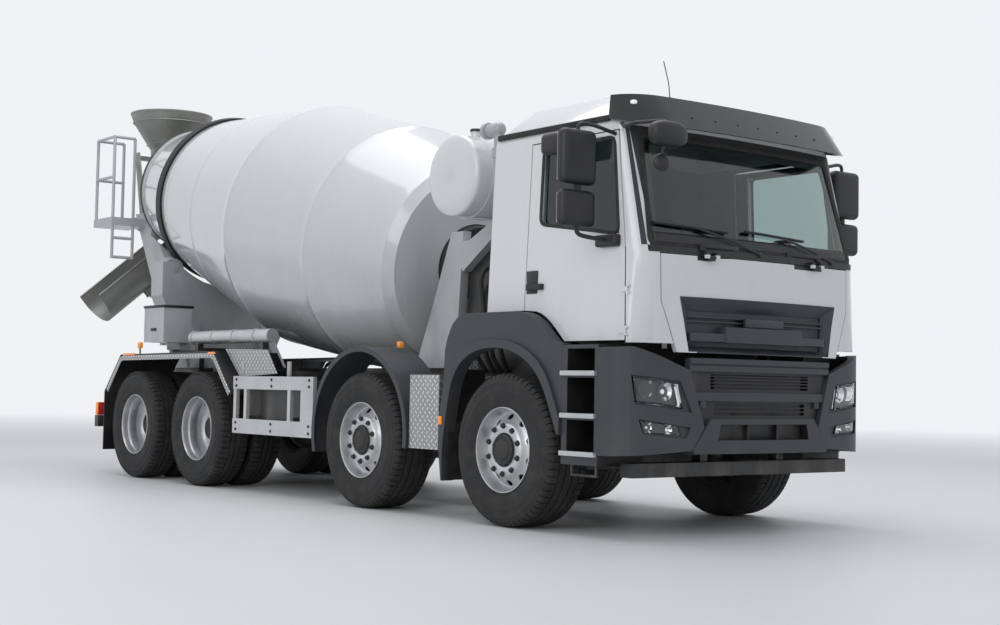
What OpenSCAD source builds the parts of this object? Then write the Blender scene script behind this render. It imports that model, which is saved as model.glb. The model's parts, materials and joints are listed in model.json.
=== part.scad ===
// Concrete mixer truck with four axles, two of them steered, in millimetres.
// X runs forward, Y to the left, Z up, with the origin on the ground below the middle.
// Most X places are counted from the first axle: at(x) turns them into part coordinates.

/* [Chassis] */
// Distance from axle 1 to axle 2
wb_12 = 1807; // [1700:10:1950]
// Distance from axle 2 to axle 3
wb_23 = 2817; // [2700:10:3100]
// Distance from axle 3 to axle 4
wb_34 = 1356; // [1310:5:1450]
// Height of the wheel hubs above the ground
hub_z = 536; // [500:5:560]
// Height of the top of the chassis rails
rail_top = 1010; // [980:10:1020]
// Height of a chassis rail
rail_h = 270; // [220:10:300]
// Width over both chassis rails
rail_span = 850; // [780:10:900]
// Height of the mixer subframe on the rails
sub_h = 110; // [80:5:115]

/* [Wheels] */
// Outer radius of every tyre
tyre_r = 536; // [520:2:545]
// Width of a front tyre
tyre_w_front = 378; // [340:2:385]
// Width of each twin tyre at the rear
tyre_w_twin = 300; // [280:2:312]
// Radius of the rim's outer edge
rim_r = 300; // [290:1:305]
// Overall width over the tyres
track_over = 2500; // [2440:10:2550]
// Middle distance between the twin tyres
twin_pitch = 345; // [330:1:360]
// Sideways distance of the steering pivot from the truck's middle
kingpin_y = 930; // [910:5:940]

/* [Cab] */
// Half width of the cab at the sill
cab_half_low = 1125; // [1080:5:1150]
// Half width of the cab at the roof rail
cab_half_top = 1060; // [1020:5:1080]
// Distance from axle 1 back to the cab's rear wall
cab_back = 350; // [300:5:380]
// Distance from axle 1 forward to the middle of the windscreen's foot
cab_nose = 1290; // [1250:5:1330]
// Height of the door's lower edge
sill_z = 1290; // [1260:5:1320]
// Height of the windscreen's foot
cowl_z = 1870; // [1820:5:1920]
// Height of the roof rail
rail_z = 2720; // [2650:5:2780]
// Height of the roof's top
roof_z = 2985; // [2900:5:3050]
// Thickness of the cab's walls
cab_wall = 55; // [40:5:70]
// Gap around doors and front flap
panel_gap = 9; // [6:1:12]
// Thickness of the window glass
glass_t = 6; // [4:1:8]

/* [Drum] */
// Angle of the drum's axis to the ground
drum_tilt = 12.2; // [10:0.1:14]
// Height of the drum's axis above axle 1
drum_axis_z = 1573; // [1560:1:1620]
// Radius of the drum at its widest seam
drum_r = 1180; // [1100:5:1190]
// Thickness of the drum's wall
drum_t = 8; // [6:1:12]
// Height of one spiral blade
blade_h = 400; // [300:10:450]
// Radius of the track ring that runs on the rollers
track_r = 900; // [890:1:920]
// Radius of a drum roller
roller_r = 120; // [100:2:140]

/* [Chute] */
// Width of the trough at its upper end
chute_w = 520; // [440:10:560]
// Length of the trough
chute_len = 1050; // [950:10:1100]
// Slope of the trough at rest
chute_slope = 40; // [30:1:45]

/* [Tanks] */
// Radius of the water tank behind the cab
tank_r = 312; // [280:2:315]
// Length of the water tank
tank_len = 2200; // [2000:10:2300]

/* [Hidden] */
$fn = 48;

white = [0.86, 0.87, 0.86];
slate = [0.24, 0.26, 0.29];
black = [0.08, 0.08, 0.09];
steel = [0.6, 0.62, 0.63];
sheet = [0.5, 0.5, 0.46];
silver = [0.75, 0.76, 0.77];

// Overall places
front_reach = 1500;
hopper_back = 8370;
x1 = (hopper_back - front_reach) / 2;
function at(x) = x1 + x;
x2 = x1 - wb_12;
x3 = x2 - wb_23;
x4 = x3 - wb_34;
sub_top = rail_top + sub_h;
front_x = at(front_reach);
seat = 0.3;
pin_gap = 0.3;

// Places on the drum's axis: s is counted from above axle 1 towards the rear
function drum_x(s) = x1 - s * cos(drum_tilt);
function drum_z(s) = drum_axis_z + s * sin(drum_tilt);
module on_drum_axis() {
    translate([x1, 0, drum_axis_z]) rotate([0, -90 + drum_tilt, 0]) children();
}
// Stations of the drum: distance along the axis, outer radius
drum_stations = [[2050, 805], [2140, 870], [3040, drum_r - 75], [4370, drum_r], [6460, 865], [7355, 660]];
station_s = [for (p = drum_stations) p[0]];
drum_front_s = drum_stations[0][0];
drum_rear_s = drum_stations[5][0];
track_s = 6440;
track_w = 100;

// Small helpers
module both() {
    children();
    mirror([0, 1, 0]) children();
}
module rod_y(r, y0, y1) {
    translate([0, y0, 0]) rotate([-90, 0, 0]) cylinder(r = r, h = y1 - y0);
}
module bar(a, b, r) {
    d = b - a;
    l = norm(d);
    translate(a) rotate([0, acos(d[2] / l), atan2(d[1], d[0])]) cylinder(r = r, h = l, $fn = 16);
}
// A plate in the X-Z plane from y0 to y1
module plate_xz(points, y0, y1) {
    translate([0, y1, 0]) rotate([90, 0, 0]) linear_extrude(y1 - y0) polygon(points);
}
// A plate in the Y-Z plane from x0 to x1
module plate_yz(points, x0, x1) {
    translate([x0, 0, 0]) rotate([90, 0, 90]) linear_extrude(x1 - x0) polygon(points);
}
// A box whose upright edges are rounded
module round_box(x0, x1, y0, y1, z0, z1, r, n = 5) {
    corners = [[x1 - r, y1 - r, 0], [x0 + r, y1 - r, 90], [x0 + r, y0 + r, 180], [x1 - r, y0 + r, 270]];
    translate([0, 0, z0]) linear_extrude(z1 - z0)
        polygon([for (c = corners) for (i = [0:n]) [c[0] + r * cos(c[2] + 90 * i / n), c[1] + r * sin(c[2] + 90 * i / n)]]);
}
module box(x0, x1, y0, y1, z0, z1) {
    translate([x0, y0, z0]) cube([x1 - x0, y1 - y0, z1 - z0]);
}

// Chassis
frame_front = at(1180);
frame_rear = x4 - 980;
eye_x = frame_rear - 190;
eye_z = 870;
rail_y = rail_span / 2;
module rail() {
    difference() {
        box(frame_rear, frame_front, rail_y - 85, rail_y, rail_top - rail_h, rail_top);
        box(frame_rear - 1, frame_front + 1, rail_y - 86, rail_y - 8, rail_top - rail_h + 8, rail_top - 8);
    }
}
cross_x = [at(1000), at(-1280), x2 - 700, x2 - 1500, x3 + 500, (x3 + x4) / 2, x4 - 600, frame_rear + 40];
module rod_at_tilt() {
    translate([tilt_x, 0, tilt_z]) rod_y(18, rail_y, rail_y + 75);
}
module chassis_frame() color(black) {
    both() rail();
    for (x = cross_x) box(x - 35, x + 35, -rail_y + 8, rail_y - 8, rail_top - rail_h + 95, rail_top - 40);
    // Pivot lugs of the tilting cab
    both() difference() {
        plate_xz([[tilt_x - 200, tilt_z - 20], [tilt_x + 40, tilt_z - 60], [tilt_x + 50, tilt_z + 50],
            [tilt_x - 200, tilt_z + 120]], rail_y, rail_y + 14);
    }
    both() rod_at_tilt();
    // Rear underrun beam
    box(frame_rear - 60, frame_rear, -rail_y, rail_y, rail_top - rail_h + 20, rail_top - 20);
    both() box(frame_rear - 50, frame_rear, rail_y - 60, rail_y + 20, 480, rail_top - rail_h + 60);
    box(frame_rear - 130, frame_rear - 49, -1180, 1180, 480, 600);
    // Recovery eye for a shackle
    difference() {
        union() {
            box(eye_x, frame_rear - 59, -55, 55, eye_z - 20, eye_z + 20);
            translate([eye_x, 0, eye_z - 20]) cylinder(r = 55, h = 40);
        }
        translate([eye_x, 0, eye_z - 21]) cylinder(r = 21, h = 42);
    }
}

module mixer_frame() color(steel) {
    both() box(frame_rear - 250, at(-1050), rail_y - 90, rail_y, rail_top, sub_top);
    for (x = [at(-1120), at(-2000), x2 - 900, x3 + 700, x3, x4 + 200, x4 - 500, frame_rear - 200])
        box(x - 40, x + 40, -rail_y + 89, rail_y - 89, rail_top + 20, sub_top - 20);
}

// Axles
module steer_beam() {
    // Dropped forged beam with its eyes at the kingpins
    difference() {
        union() {
            plate_yz([[-560, hub_z - 150], [560, hub_z - 150], [720, hub_z - 40], [kingpin_y - 20, hub_z - 40],
                [kingpin_y - 20, hub_z + 50], [690, hub_z + 50], [530, hub_z - 50], [-530, hub_z - 50],
                [-690, hub_z + 50], [-kingpin_y + 20, hub_z + 50], [-kingpin_y + 20, hub_z - 40],
                [-720, hub_z - 40]], -50, 50);
            both() translate([0, kingpin_y, hub_z - 75]) cylinder(r = 50, h = 150);
        }
    }
}
module steer_axle_beams() color(black) {
    for (x = [x1, x2]) translate([x, 0, 0]) steer_beam();
}
axle_tube_r = 75;
hub_depth = 300;
hub_face = track_over / 2 - tyre_w_twin / 2 - hub_depth - seat;
module drive_axle(x) {
    translate([x, 0, hub_z]) {
        rod_y(axle_tube_r, -hub_face, hub_face);
        sphere(r = 210, $fn = 40);
    }
}
module drive_axles() color(black) {
    drive_axle(x3);
    drive_axle(x4);
}
spring_y = 385;
module leaf_springs() color(black) {
    for (x = [x1, x2]) both() {
        plate_xz([[x - 700, 690], [x - 200, hub_z - 30], [x + 200, hub_z - 30], [x + 700, 690],
            [x + 700, 715], [x + 180, hub_z + 40], [x - 180, hub_z + 40], [x - 700, 715]], spring_y - 45, spring_y + 45);
        box(x - 90, x + 90, spring_y - 60, spring_y + 60, hub_z - 50, hub_z - 29);
        for (e = [-700, 700]) box(x + e - 40, x + e + 40, spring_y - 30, spring_y + 30, 689, rail_top - rail_h);
    }
    both() {
        xm = (x3 + x4) / 2;
        plate_xz([[x4 - 60, hub_z + axle_tube_r], [x3 + 60, hub_z + axle_tube_r], [x3 + 60, hub_z + 110], [xm + 120, hub_z + 200],
            [xm - 120, hub_z + 200], [x4 - 60, hub_z + 110]], spring_y + 100, spring_y + 190);
        box(xm - 120, xm + 120, rail_y, spring_y + 190, hub_z + 180, rail_top - 60);
    }
}
module engine() color(steel) {
    box(at(-350), at(900), -330, 330, 700, 1440);
    box(at(-1150), at(-349), -220, 220, 720, 1020);
    both() box(at(100), at(260), 329, rail_y - 85 + 77, 860, 960);
}
module prop_shafts() color(black) {
    translate([at(-1150) - seat, 0, 765]) rotate([0, -90, 0]) cylinder(r = 75, h = 14);
    bar([at(-1158), 0, 765], [x3 + 214, 0, hub_z + 40], 55);
    bar([x3 - 210.3, 0, hub_z], [x4 + 210.3, 0, hub_z], 50);
}

// Boxes on the frame between the axles
module side_boxes() {
    color(silver) box(at(-1165), at(-790), -1215, -700, 500, 1055);
    color(silver) box(at(-1165), at(-790), 700, 1215, 500, 1055);
    color(black) both() {
        box(at(-1100), at(-900), rail_y, 701, 800, 1000);
        box(at(-3930), at(-2760), rail_y + 60, 1120, 560, 1000);
        box(at(-3600), at(-3000), rail_y, rail_y + 61, 800, 960);
    }
}
module side_guards() color(silver) both() {
    xa = at(-3940);
    xb = at(-2556);
    box(xa, xb, 1190, 1225, 915, 1030);
    box(xa, xb, 1190, 1225, 520, 650);
    for (x = [xa + 10, xa + 200, xb - 420]) box(x, x + 50, 1191, 1224, 600, 960);
    box(xb - 200, xb, 1190, 1225, 520, 1030);
    for (x = [xa + 210, xb - 410]) box(x, x + 30, 1120, 1191, 620, 680);
}

// Fender arch around a wheel, from angle a0 to a1 above the front: radius and side place of its outline
module arch(outline, a0, a1) {
    rotate([90, 0, 0]) rotate([0, 0, a0]) rotate_extrude(angle = a1 - a0, $fn = 96)
        polygon([for (p = outline) [p[0], -p[1]]]);
}
module fender_axle_2() color(slate) both() {
    translate([x2 - 60, 0, 590]) {
        arch([[677, 860], [687, 860], [687, 1235], [645, 1235], [645, 1225], [677, 1225]], -8, 195);
        for (a = [32, 148]) translate([702 * cos(a), 0, 702 * sin(a)]) rod_y(16, rail_y, 1100);
    }
}
module rear_mudguards() color(slate) both() {
    m_top = 1245;
    plate_xz([[x3 + 655, 860], [x3 + 310, m_top], [x4 - 370, m_top - 20], [x4 - 745, 840], [x4 - 745, 250],
        [x4 - 757, 250], [x4 - 757, 860], [x4 - 378, m_top - 5], [x3 + 320, m_top + 15], [x3 + 670, 870]], 570, 1235);
    for (x = [x3 - 60, x4 + 130]) {
        box(x, x + 60, rail_y, 600, sub_top - 50, sub_top - 20);
        box(x, x + 60, 571, 600, sub_top - 21, m_top - 8);
    }
}

// Front end
// Plan of the nose: x of the front skin at a given y. Its corners are rc wide and rd deep.
nose_bow = 0.06;
function nose(xf, y, w, rc, rd) = let (b = nose_bow * y * y / 1000, e = max(0, abs(y) - (w - rc)) / rc)
    xf - b - rd * (1 - sqrt(max(0, 1 - e * e)));
// Half of the nose: steps to the corner, then round it by angle
function nose_half(xf, w, rc, rd, n) = concat([for (i = [0:3]) let (y = (w - rc) * i / 3) [nose(xf, y, w, rc, rd), y]],
    [for (i = [1:n]) let (y = w - rc + rc * sin(90 * i / n)) [nose(xf, y, w, rc, rd), y]]);
function nose_plan(xb, xf, w, rc, rd, n = 8) = let (h = nose_half(xf, w, rc, rd, n), m = len(h) - 1)
    concat([[xb, -w]], [for (i = [m:-1:1]) [h[i][0], -h[i][1]]], h, [[xb, w]]);
module nose_slab(xb, xf, w, rc, rd, z0, z1) {
    translate([0, 0, z0]) linear_extrude(z1 - z0) polygon(nose_plan(xb, xf, w, rc, rd));
}
bumper_w = 1220;
lamp_outline = [[1122, 1059], [795, 1018], [747, 850], [1104, 890]];
fog_outline = [[1080, 775], [791, 742], [763, 679], [1058, 693]];
// Outlines moved out by g on every side
function spread(pts, g) = let (cy = (pts[0][0] + pts[2][0]) / 2, cz = (pts[0][1] + pts[2][1]) / 2)
    [for (p = pts) [p[0] + (p[0] > cy ? g : -g), p[1] + (p[1] > cz ? g : -g)]];
module bumper_skin(x, z0, z1) {
    nose_slab(at(960), at(x), bumper_w, 300, 210, z0, z1);
}
// Hollow around a lamp: cut only down to a floor 16 mm below the skin
module lamp_hollow(pts) {
    difference() {
        plate_yz(pts, at(1000), at(1400));
        nose_slab(at(900), at(1302), bumper_w - 10, 300, 210, 500, 1300);
    }
}
module bumper() color(slate) {
    difference() {
        union() {
            // Corner units that carry the lamps
            intersection() {
                bumper_skin(1318, 540, 1250);
                both() plate_yz([[697, 1103], [1120, 1250], [1230, 1238], [1230, 541], [678, 578], [570, 728]], at(950), at(1400));
            }
            // Centre set back between them, with its bar, lip and lower frame
            intersection() {
                union() {
                    bumper_skin(1282, 585, 1100);
                    bumper_skin(1306, 905, 962);
                    bumper_skin(1312, 1099, 1138);
                    bumper_skin(1300, 1137, 1150);
                    bumper_skin(1316, 1149, 1186);
                }
                plate_half([[678 - seat, 578], [570 - seat, 728], [697 - seat, 1103], [697 - seat, 1187]], at(950), at(1400));
            }
            intersection() {
                bumper_skin(1322, 555, 790);
                plate_half([[660, 556], [668 - seat, 590], [515, 788]], at(950), at(1400));
            }
        }
        nose_slab(at(940), at(1266), bumper_w - 60, 260, 190, 520, 1260);
        // Openings of the lower frame and the centre
        plate_half([[455, 646], [430, 750]], at(1200), at(1400));
        box(at(1200), at(1400), -450, 450, 812, 888);
        box(at(1200), at(1400), -490, 490, 985, 1082);
        both() {
            lamp_hollow([[1130, 1067], [779, 1031], [680, 827], [1106, 878]]);
            lamp_hollow([[1088, 783], [690, 730], [728, 658], [1058, 684]]);
            plate_yz(lamp_outline, at(1130), at(1400));
            plate_yz(fog_outline, at(1130), at(1400));
        }
    }
    // Slats and panes inside the openings
    intersection() {
        union() {
            for (z = [1000, 1022, 1044, 1066]) nose_slab(at(1256), at(1281), 496, 20, 4, z, z + 8);
            for (z = [832, 858]) nose_slab(at(1256), at(1281), 456, 20, 4, z, z + 8);
            for (y = [-150, 142]) box(at(1240), at(1290), y, y + 8, 640, 760);
            nose_slab(at(1240), at(1262), 435, 20, 4, 620, 1090);
        }
        box(at(1230), at(1400), -500, 500, 600, 1090);
    }
    both() box(at(700), at(1280), rail_y + 120, rail_y + 170, 860, 920);
    both() box(at(700), at(760), rail_y, rail_y + 121, 860, 920);
}
module underrun_bar() color(black) {
    box(at(1020), at(1140), -1065, 1065, 400, 495);
    both() box(at(1030), at(1110), rail_y - 80, rail_y - 10, 494, rail_top - rail_h);
}
module lamps() {
    color(silver) both() intersection() {
        nose_slab(at(1130) + seat, at(1310), bumper_w - 6, 300, 210, 500, 1300);
        union() {
            plate_yz(spread(lamp_outline, -seat), at(1130) + seat, at(1400));
            plate_yz(spread(fog_outline, -seat), at(1130) + seat, at(1400));
        }
    }
    color([0.6, 0.05, 0.05]) both() box(frame_rear - 150, frame_rear - 90, 780, 1170, 600 + seat, 740);
}
step_in = 620;
tread_z = [540, 790, 1070];
module steps() both() {
    color(slate) difference() {
        union() {
            box(at(step_in), at(960) - seat, 800, 1190, 470, 1262);
            box(at(600), at(960) - seat, 1125, 1212, 470, 1262);
        }
        // Open wells above the treads
        for (k = [0:2]) box(at(655), at(925), 905, 1300, tread_z[k] + 17, k < 2 ? tread_z[k + 1] - 25 : 1236);
    }
    color(silver) for (z = tread_z) box(at(608), at(950), 1211, 1240, z - 12, z + 18);
    // Loop of bar below the lowest step
    color(black) for (x = [690, 930]) box(at(x - 8), at(x + 8), 1180, 1196, 395, 471);
    color(black) box(at(682), at(938), 1180, 1196, 395, 411);
}
module wheel_arches() color(slate) both() {
    // Outer panel with the arch opening, its front end parted by a seam
    difference() {
        union() {
            plate_xz([[at(-720), 280], [at(-760), 560], [at(-728), 1240], [at(-700), 1330], [at(-640), 1430], [at(-560), 1490],
                [at(-470), 1501], [at(90), 1501], [at(195), 1491], [at(248), 1476], [at(300), 1450], [at(360), 1411],
                [at(418), 1362], [at(500), 1290], [at(530), 1277], [at(599.7), 1275], [at(599.7), 660],
                [at(578), 660], [at(556), 715], [at(380), 1085], [at(60), 1250], [at(-340), 1245],
                [at(-600), 1080], [at(-710), 560], [at(-705), 280]], 1130, 1214);
            // Raised lip around the wheel
            plate_xz([[at(-720), 280], [at(-760), 560], [at(-748), 800], [at(-668), 1118], [at(-370), 1305],
                [at(85), 1308], [at(432), 1138], [at(599.7), 775], [at(599.7), 660], [at(578), 660],
                [at(556), 715], [at(380), 1085], [at(60), 1250], [at(-340), 1245], [at(-600), 1080],
                [at(-710), 560], [at(-705), 280]], 1213, 1240);
        }
        box(at(500) - seat, at(500), 1120, 1250, 600, 1400);
    }
    // Liner above the tyre and its arm on the frame
    plate_xz([[at(-640), 1240], [at(-520), 1380], [at(250), 1380], [at(520), 1100], [at(530), 1110],
        [at(258), 1395], [at(-528), 1395], [at(-655), 1240]], 850, 1130 - seat);
    box(at(-600), at(-540), rail_y, 851, 1270, 1310);
}
intake_x = at(-455);
module air_intake() color(steel) {
    translate([intake_x, -960, 1420]) cylinder(r = 34, h = 1460);
    translate([intake_x, -960, 1700]) cylinder(r = 48, h = 60);
    translate([intake_x, -960, 2660]) cylinder(r = 48, h = 70);
    translate([intake_x, -960, 2875]) rotate([0, -90, 0]) {
        sphere(r = 56);
        cylinder(r = 52, h = 110);
        difference() {
            translate([0, 0, 109]) cylinder(r = 62, h = 40);
            translate([0, 0, 120]) cylinder(r = 52, h = 40);
        }
    }
    box(at(-520), at(-400), -960, -rail_y, 1421, 1481);
    box(at(-520), at(-400), -rail_y - 60, -rail_y, 900, 1480);
}

// Mixer pedestals
ped_y = 470;
ped_t = 90;
chute_x = at(-7950);
chute_low_z = 1480;
chute_high_z = 1980;
module rear_pedestal() color(steel) {
    both() difference() {
        plate_xz([[at(-7780), 2870], [at(-7500), 2870], [at(-5900), sub_top], [at(-6720), sub_top]],
            ped_y - ped_t, ped_y);
        drum_clearance(40);
    }
    // Transverse saddle below the track ring
    difference() {
        box(at(-6610), at(-6340), -ped_y - 330, ped_y + 330, sub_top, 2230);
        drum_clearance(40);
        on_drum_axis() translate([0, 0, track_s - 250]) cylinder(r = track_r + 40, h = 500, $fn = 72);
        both() plate_yz([[ped_y + 1, sub_top - 1], [ped_y + 340, sub_top - 1], [ped_y + 340, 1900]],
            at(-6611), at(-6339));
        for (m = [0, 1]) mirror([0, m, 0]) on_drum_axis() rotate([0, 0, 180 - roller_a])
            translate([track_r + roller_r + seat, 0, track_s - 81]) cylinder(r = roller_r + 12, h = 162);
        for (m = [0, 1]) mirror([0, m, 0]) on_drum_axis() rotate([0, 0, 180 - roller_a])
            translate([track_r + roller_r + seat, 0, track_s - 200]) cylinder(r = 31, h = 400);
    }
    // Bearing arms of the chute's swivel post
    for (z = [chute_low_z - 60, chute_high_z]) difference() {
        union() {
            box(chute_x, at(-6609), -60, 60, z, z + 60);
            translate([chute_x, 0, z]) cylinder(r = 85, h = 60);
        }
        translate([chute_x, 0, z - 1]) cylinder(r = 40.3, h = 62);
    }
    box(at(-6700), at(-6609), -ped_y + 80, ped_y - 80, chute_low_z - 60, chute_low_z);
    // Roller cradles
    for (m = [0, 1]) mirror([0, m, 0]) on_drum_axis() rotate([0, 0, 180 - roller_a])
        translate([track_r + roller_r + seat, 0, 0]) for (s = [track_s - 110, track_s + 80]) difference() {
            translate([-45, -60, s]) cube([200, 120, 30]);
            translate([0, 0, s - 1]) cylinder(r = 30.3, h = 32);
        }
}
// The drum's outline grown by g, to cut what stands near it
module drum_clearance(g) {
    on_drum_axis() rotate_extrude($fn = 72) polygon(concat([[0, drum_front_s - 300]],
        [for (q = drum_stations) [q[1] + g + (q[0] > 7000 ? 30 : 0), q[0]]], [[730, drum_rear_s + 60], [0, drum_rear_s + 60]]));
}
// Angle of the rollers from the lowest point of the ring
roller_a = 40;
module roller(side) mirror([0, side, 0]) on_drum_axis() rotate([0, 0, 180 - roller_a]) translate([track_r + roller_r + seat, 0, 0]) {
    translate([0, 0, track_s - 70]) cylinder(r = roller_r, h = 140);
    translate([0, 0, track_s - 130]) cylinder(r = 30, h = 260);
}
module roller_right() color(steel) roller(1);
module roller_left() color(steel) roller(0);

module front_pedestal() color(steel) {
    both() {
        plate_xz([[at(-2120), sub_top], [at(-1560), sub_top], [at(-1480), 2230], [at(-1640), 2230], [at(-1900), 1600]],
            420, 500);
        plate_xz([[at(-1640), 2150], [at(-1400), 2150], [at(-1000), 2330], [at(-700), 2330], [at(-700), 2240],
            [at(-960), 2240], [at(-1480), 1900]], 420, 500);
    }
    difference() {
        box(at(-1760), at(-1640), -421, 421, 1500, 2100);
        on_drum_axis() translate([0, 0, 1400]) cylinder(r = 200, h = 600);
    }
}
module drum_drive() {
    color(black) on_drum_axis() {
        translate([0, 0, 1500]) cylinder(r = 199.7, h = 361);
        translate([0, 0, 1860]) cylinder(r = 250, h = 105);
        translate([0, 0, 1250]) cylinder(r = 110, h = 260);
    }
    color(black) box(at(-1500), at(-1150), -419, -150, 1560, 2085);
    color(black) box(at(-1640), at(-1499), -415, -385, 1700, 1900);
}
tank_x = at(-870);
tank_z = 2330 + tank_r - 80;
module water_tank() color(white) {
    translate([tank_x, 0, tank_z]) {
        difference() {
            rod_y(tank_r, -tank_len / 2 + 60, tank_len / 2 - 60);
            for (m = [0, 1]) mirror([0, m, 0]) translate([at(-700) - tank_x - 600, 419.7, -tank_r - 10]) cube([800, 81, 100]);
        }
        both() translate([0, tank_len / 2 - 61, 0]) rotate([-90, 0, 0])
            rotate_extrude($fn = 64) polygon(concat([[0, 0], [tank_r, 0]],
                [for (a = [15:15:90]) [(tank_r - 46) * sqrt(1 - pow(sin(a), 4)) + 46 * cos(a), 61 * sin(a)]]));
        // Weld bands
        both() difference() {
            rod_y(tank_r + 4, tank_len / 2 - 210, tank_len / 2 - 175);
            rod_y(tank_r - 10, tank_len / 2 - 211, tank_len / 2 - 174);
        }
        translate([60, -tank_len / 2 + 200, tank_r - 20]) cylinder(r = 40, h = 60);
    }
}

// Feed hopper over the drum's mouth, with its throat
hopper_r = 470;
hopper_x = at(-hopper_back + hopper_r);
hopper_z = 4080;
// Spout that leads from below the hopper into the drum's mouth
module throat(r) {
    a = [hopper_x, 0, hopper_z - 640];
    b = [at(-7150), 0, 3170];
    translate(a) cylinder(r = r, h = 230);
    bar(a, b, r);
    translate(a) sphere(r = r, $fn = 48);
}
module feed_hopper() color(sheet) {
    difference() {
        union() {
            translate([hopper_x, 0, 0]) rotate_extrude($fn = 64) polygon([[0, hopper_z], [hopper_r, hopper_z],
                [hopper_r - 40, hopper_z - 110], [270, hopper_z - 360], [230, hopper_z - 420], [0, hopper_z - 420]]);
            throat(230);
        }
        translate([hopper_x, 0, 0]) rotate_extrude($fn = 64) polygon([[0, hopper_z + 1], [hopper_r - 6, hopper_z + 1],
            [hopper_r - 46, hopper_z - 110], [264, hopper_z - 357], [222, hopper_z - 421], [0, hopper_z - 421]]);
        throat(222);
    }
    both() plate_xz([[at(-7780), 2870], [at(-7640), 2870], [hopper_x + 60, hopper_z - 480], [hopper_x - 60, hopper_z - 480]],
        ped_y - 60, ped_y - 50);
    both() box(hopper_x - 60, hopper_x + 60, 226, ped_y - 50, hopper_z - 560, hopper_z - 520);
}
col_z0 = 2640;
col_z1 = 2860;
module collector() color(sheet) {
    difference() {
        hull() {
            box(at(-8330), at(-7560), -370, 370, col_z1 - 10, col_z1);
            translate([chute_x, 0, col_z0]) cylinder(r = 200, h = 10, $fn = 32);
        }
        hull() {
            box(at(-8322), at(-7568), -362, 362, col_z1 - 5, col_z1 + 10);
            translate([chute_x, 0, col_z0 - 10]) cylinder(r = 192, h = 10, $fn = 32);
        }
    }
    both() box(at(-7700), at(-7560), 369, 379.7, col_z1 - 60, col_z1);
}
plat_z = 2790;
module platform() color(steel) {
    xa = at(-7990);
    xb = at(-7500);
    ya = -880;
    box(xa, xb, ya, -ped_y - 0.3, plat_z - 90, plat_z - 82);
    for (y = [ya, -ped_y - 8.3]) box(xa, xb, y, y + 8, plat_z - 90, plat_z);
    for (x = [xa, xb - 8]) box(x, x + 8, ya, -ped_y - 0.3, plat_z - 90, plat_z);
    posts = [[xa + 20, ya + 20], [xa + 20, ya + 330], [xb - 20, ya + 20], [xb - 20, ya + 260]];
    for (p = posts) bar([p[0], p[1], plat_z - 85], [p[0], p[1], plat_z + 900], 17);
    for (z = [plat_z + 450, plat_z + 900]) {
        bar([posts[0][0], posts[0][1], z], [posts[1][0], posts[1][1], z], 17);
        bar([posts[0][0], posts[0][1], z], [posts[2][0], posts[2][1], z], 17);
    }
    bar([posts[2][0], posts[2][1], plat_z + 900], [posts[3][0], posts[3][1], plat_z + 900], 17);
    for (p = [posts[2], posts[3]]) bar([p[0], p[1], 2330], [p[0], p[1], plat_z - 80], 17);
    for (z = [2345, 2560]) bar([posts[2][0], posts[2][1], z], [posts[3][0], posts[3][1], z], 17);
}
module control_box() {
    color(silver) box(at(-5880), at(-5440), -1205, -900, 1360, 1700);
    color(black) box(at(-5780), at(-5730), -rail_y - 50, -rail_y, sub_top - 60, 1292);
    color(black) box(at(-5780), at(-5730), -960, -rail_y, 1264, 1292);
    color(black) box(at(-5780), at(-5500), -1000, -920, 1291, 1360);
    color(silver) translate([0, 0, 1395]) {
        translate([at(-4990), -1100, 0]) rotate([0, 90, 0]) cylinder(r = 62, h = 1520);
        for (x = [-4960, -4560, -4160, -3760]) translate([at(x), -1100, 0]) rotate([0, 90, 0]) cylinder(r = 70, h = 30);
    }
    // Brackets: the rear one passes over the mudguard, the front one below the drum
    color(black) for (p = [[-4900, 1270], [-3650, 1085]]) {
        box(at(p[0]), at(p[0] + 60), -1130, -rail_y, p[1], p[1] + 30);
        box(at(p[0]), at(p[0] + 60), -1130, -1070, p[1] + 29, 1340);
    }
    color(black) box(at(-4900), at(-4840), -rail_y - 30, -rail_y, sub_top - 40, 1271);
}

// Cab
tilt_x = at(1150);
tilt_z = 800;
function side_y(z) = cab_half_low + (cab_half_top - cab_half_low) * (z - sill_z) / (rail_z - sill_z);
// Sections of the cab's skin: height, front middle, width and depth of the rounded corner
cab_sections = [[sill_z - 70, cab_nose + 10, 180, 120], [cowl_z, cab_nose, 160, 125], [rail_z, 1062, 110, 60]];
module cab_slice(k, inset, dz) {
    z = cab_sections[k][0];
    w = side_y(z) - inset;
    translate([0, 0, z + dz]) linear_extrude(0.1)
        polygon(nose_plan(at(-cab_back) + inset, at(cab_sections[k][1]) - inset, w,
            cab_sections[k][2] - inset / 2, cab_sections[k][3] - inset / 4, 6));
}
module cab_solid(inset, down, up) {
    hull() {
        cab_slice(0, inset, -down);
        cab_slice(1, inset, 0);
    }
    hull() {
        cab_slice(1, inset, 0);
        cab_slice(2, inset, up);
    }
}
// Lower edge of the cab's side above the front wheel, from the sill back to the door's rear corner
under_pts = [[at(518), sill_z], [at(429), 1371], [at(370), 1421], [at(309), 1461], [at(258), 1486], [at(205), 1501], [at(75), 1510]];
door_pts = concat([[at(1110), sill_z]], under_pts, [[at(75), rail_z - 40], [at(955), rail_z - 40], [at(1075), 1900]]);
function grow(pts, cx, cz, g) = [for (p = pts) [p[0] + (p[0] > cx ? g : -g), p[1] + (p[1] > cz ? g : -g)]];
win_pts = [[at(1010), 1990], [at(200), 2110], [at(200), 2640], [at(925), 2640]];
screen_low = cowl_z + 40;
screen_top = rail_z - 55;
module screen_prism(g) {
    plate_yz([[-1000 + g, screen_low + g], [1000 - g, screen_low + g], [930 - g, screen_top - g],
        [-930 + g, screen_top - g]], at(850), at(1500));
}
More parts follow.
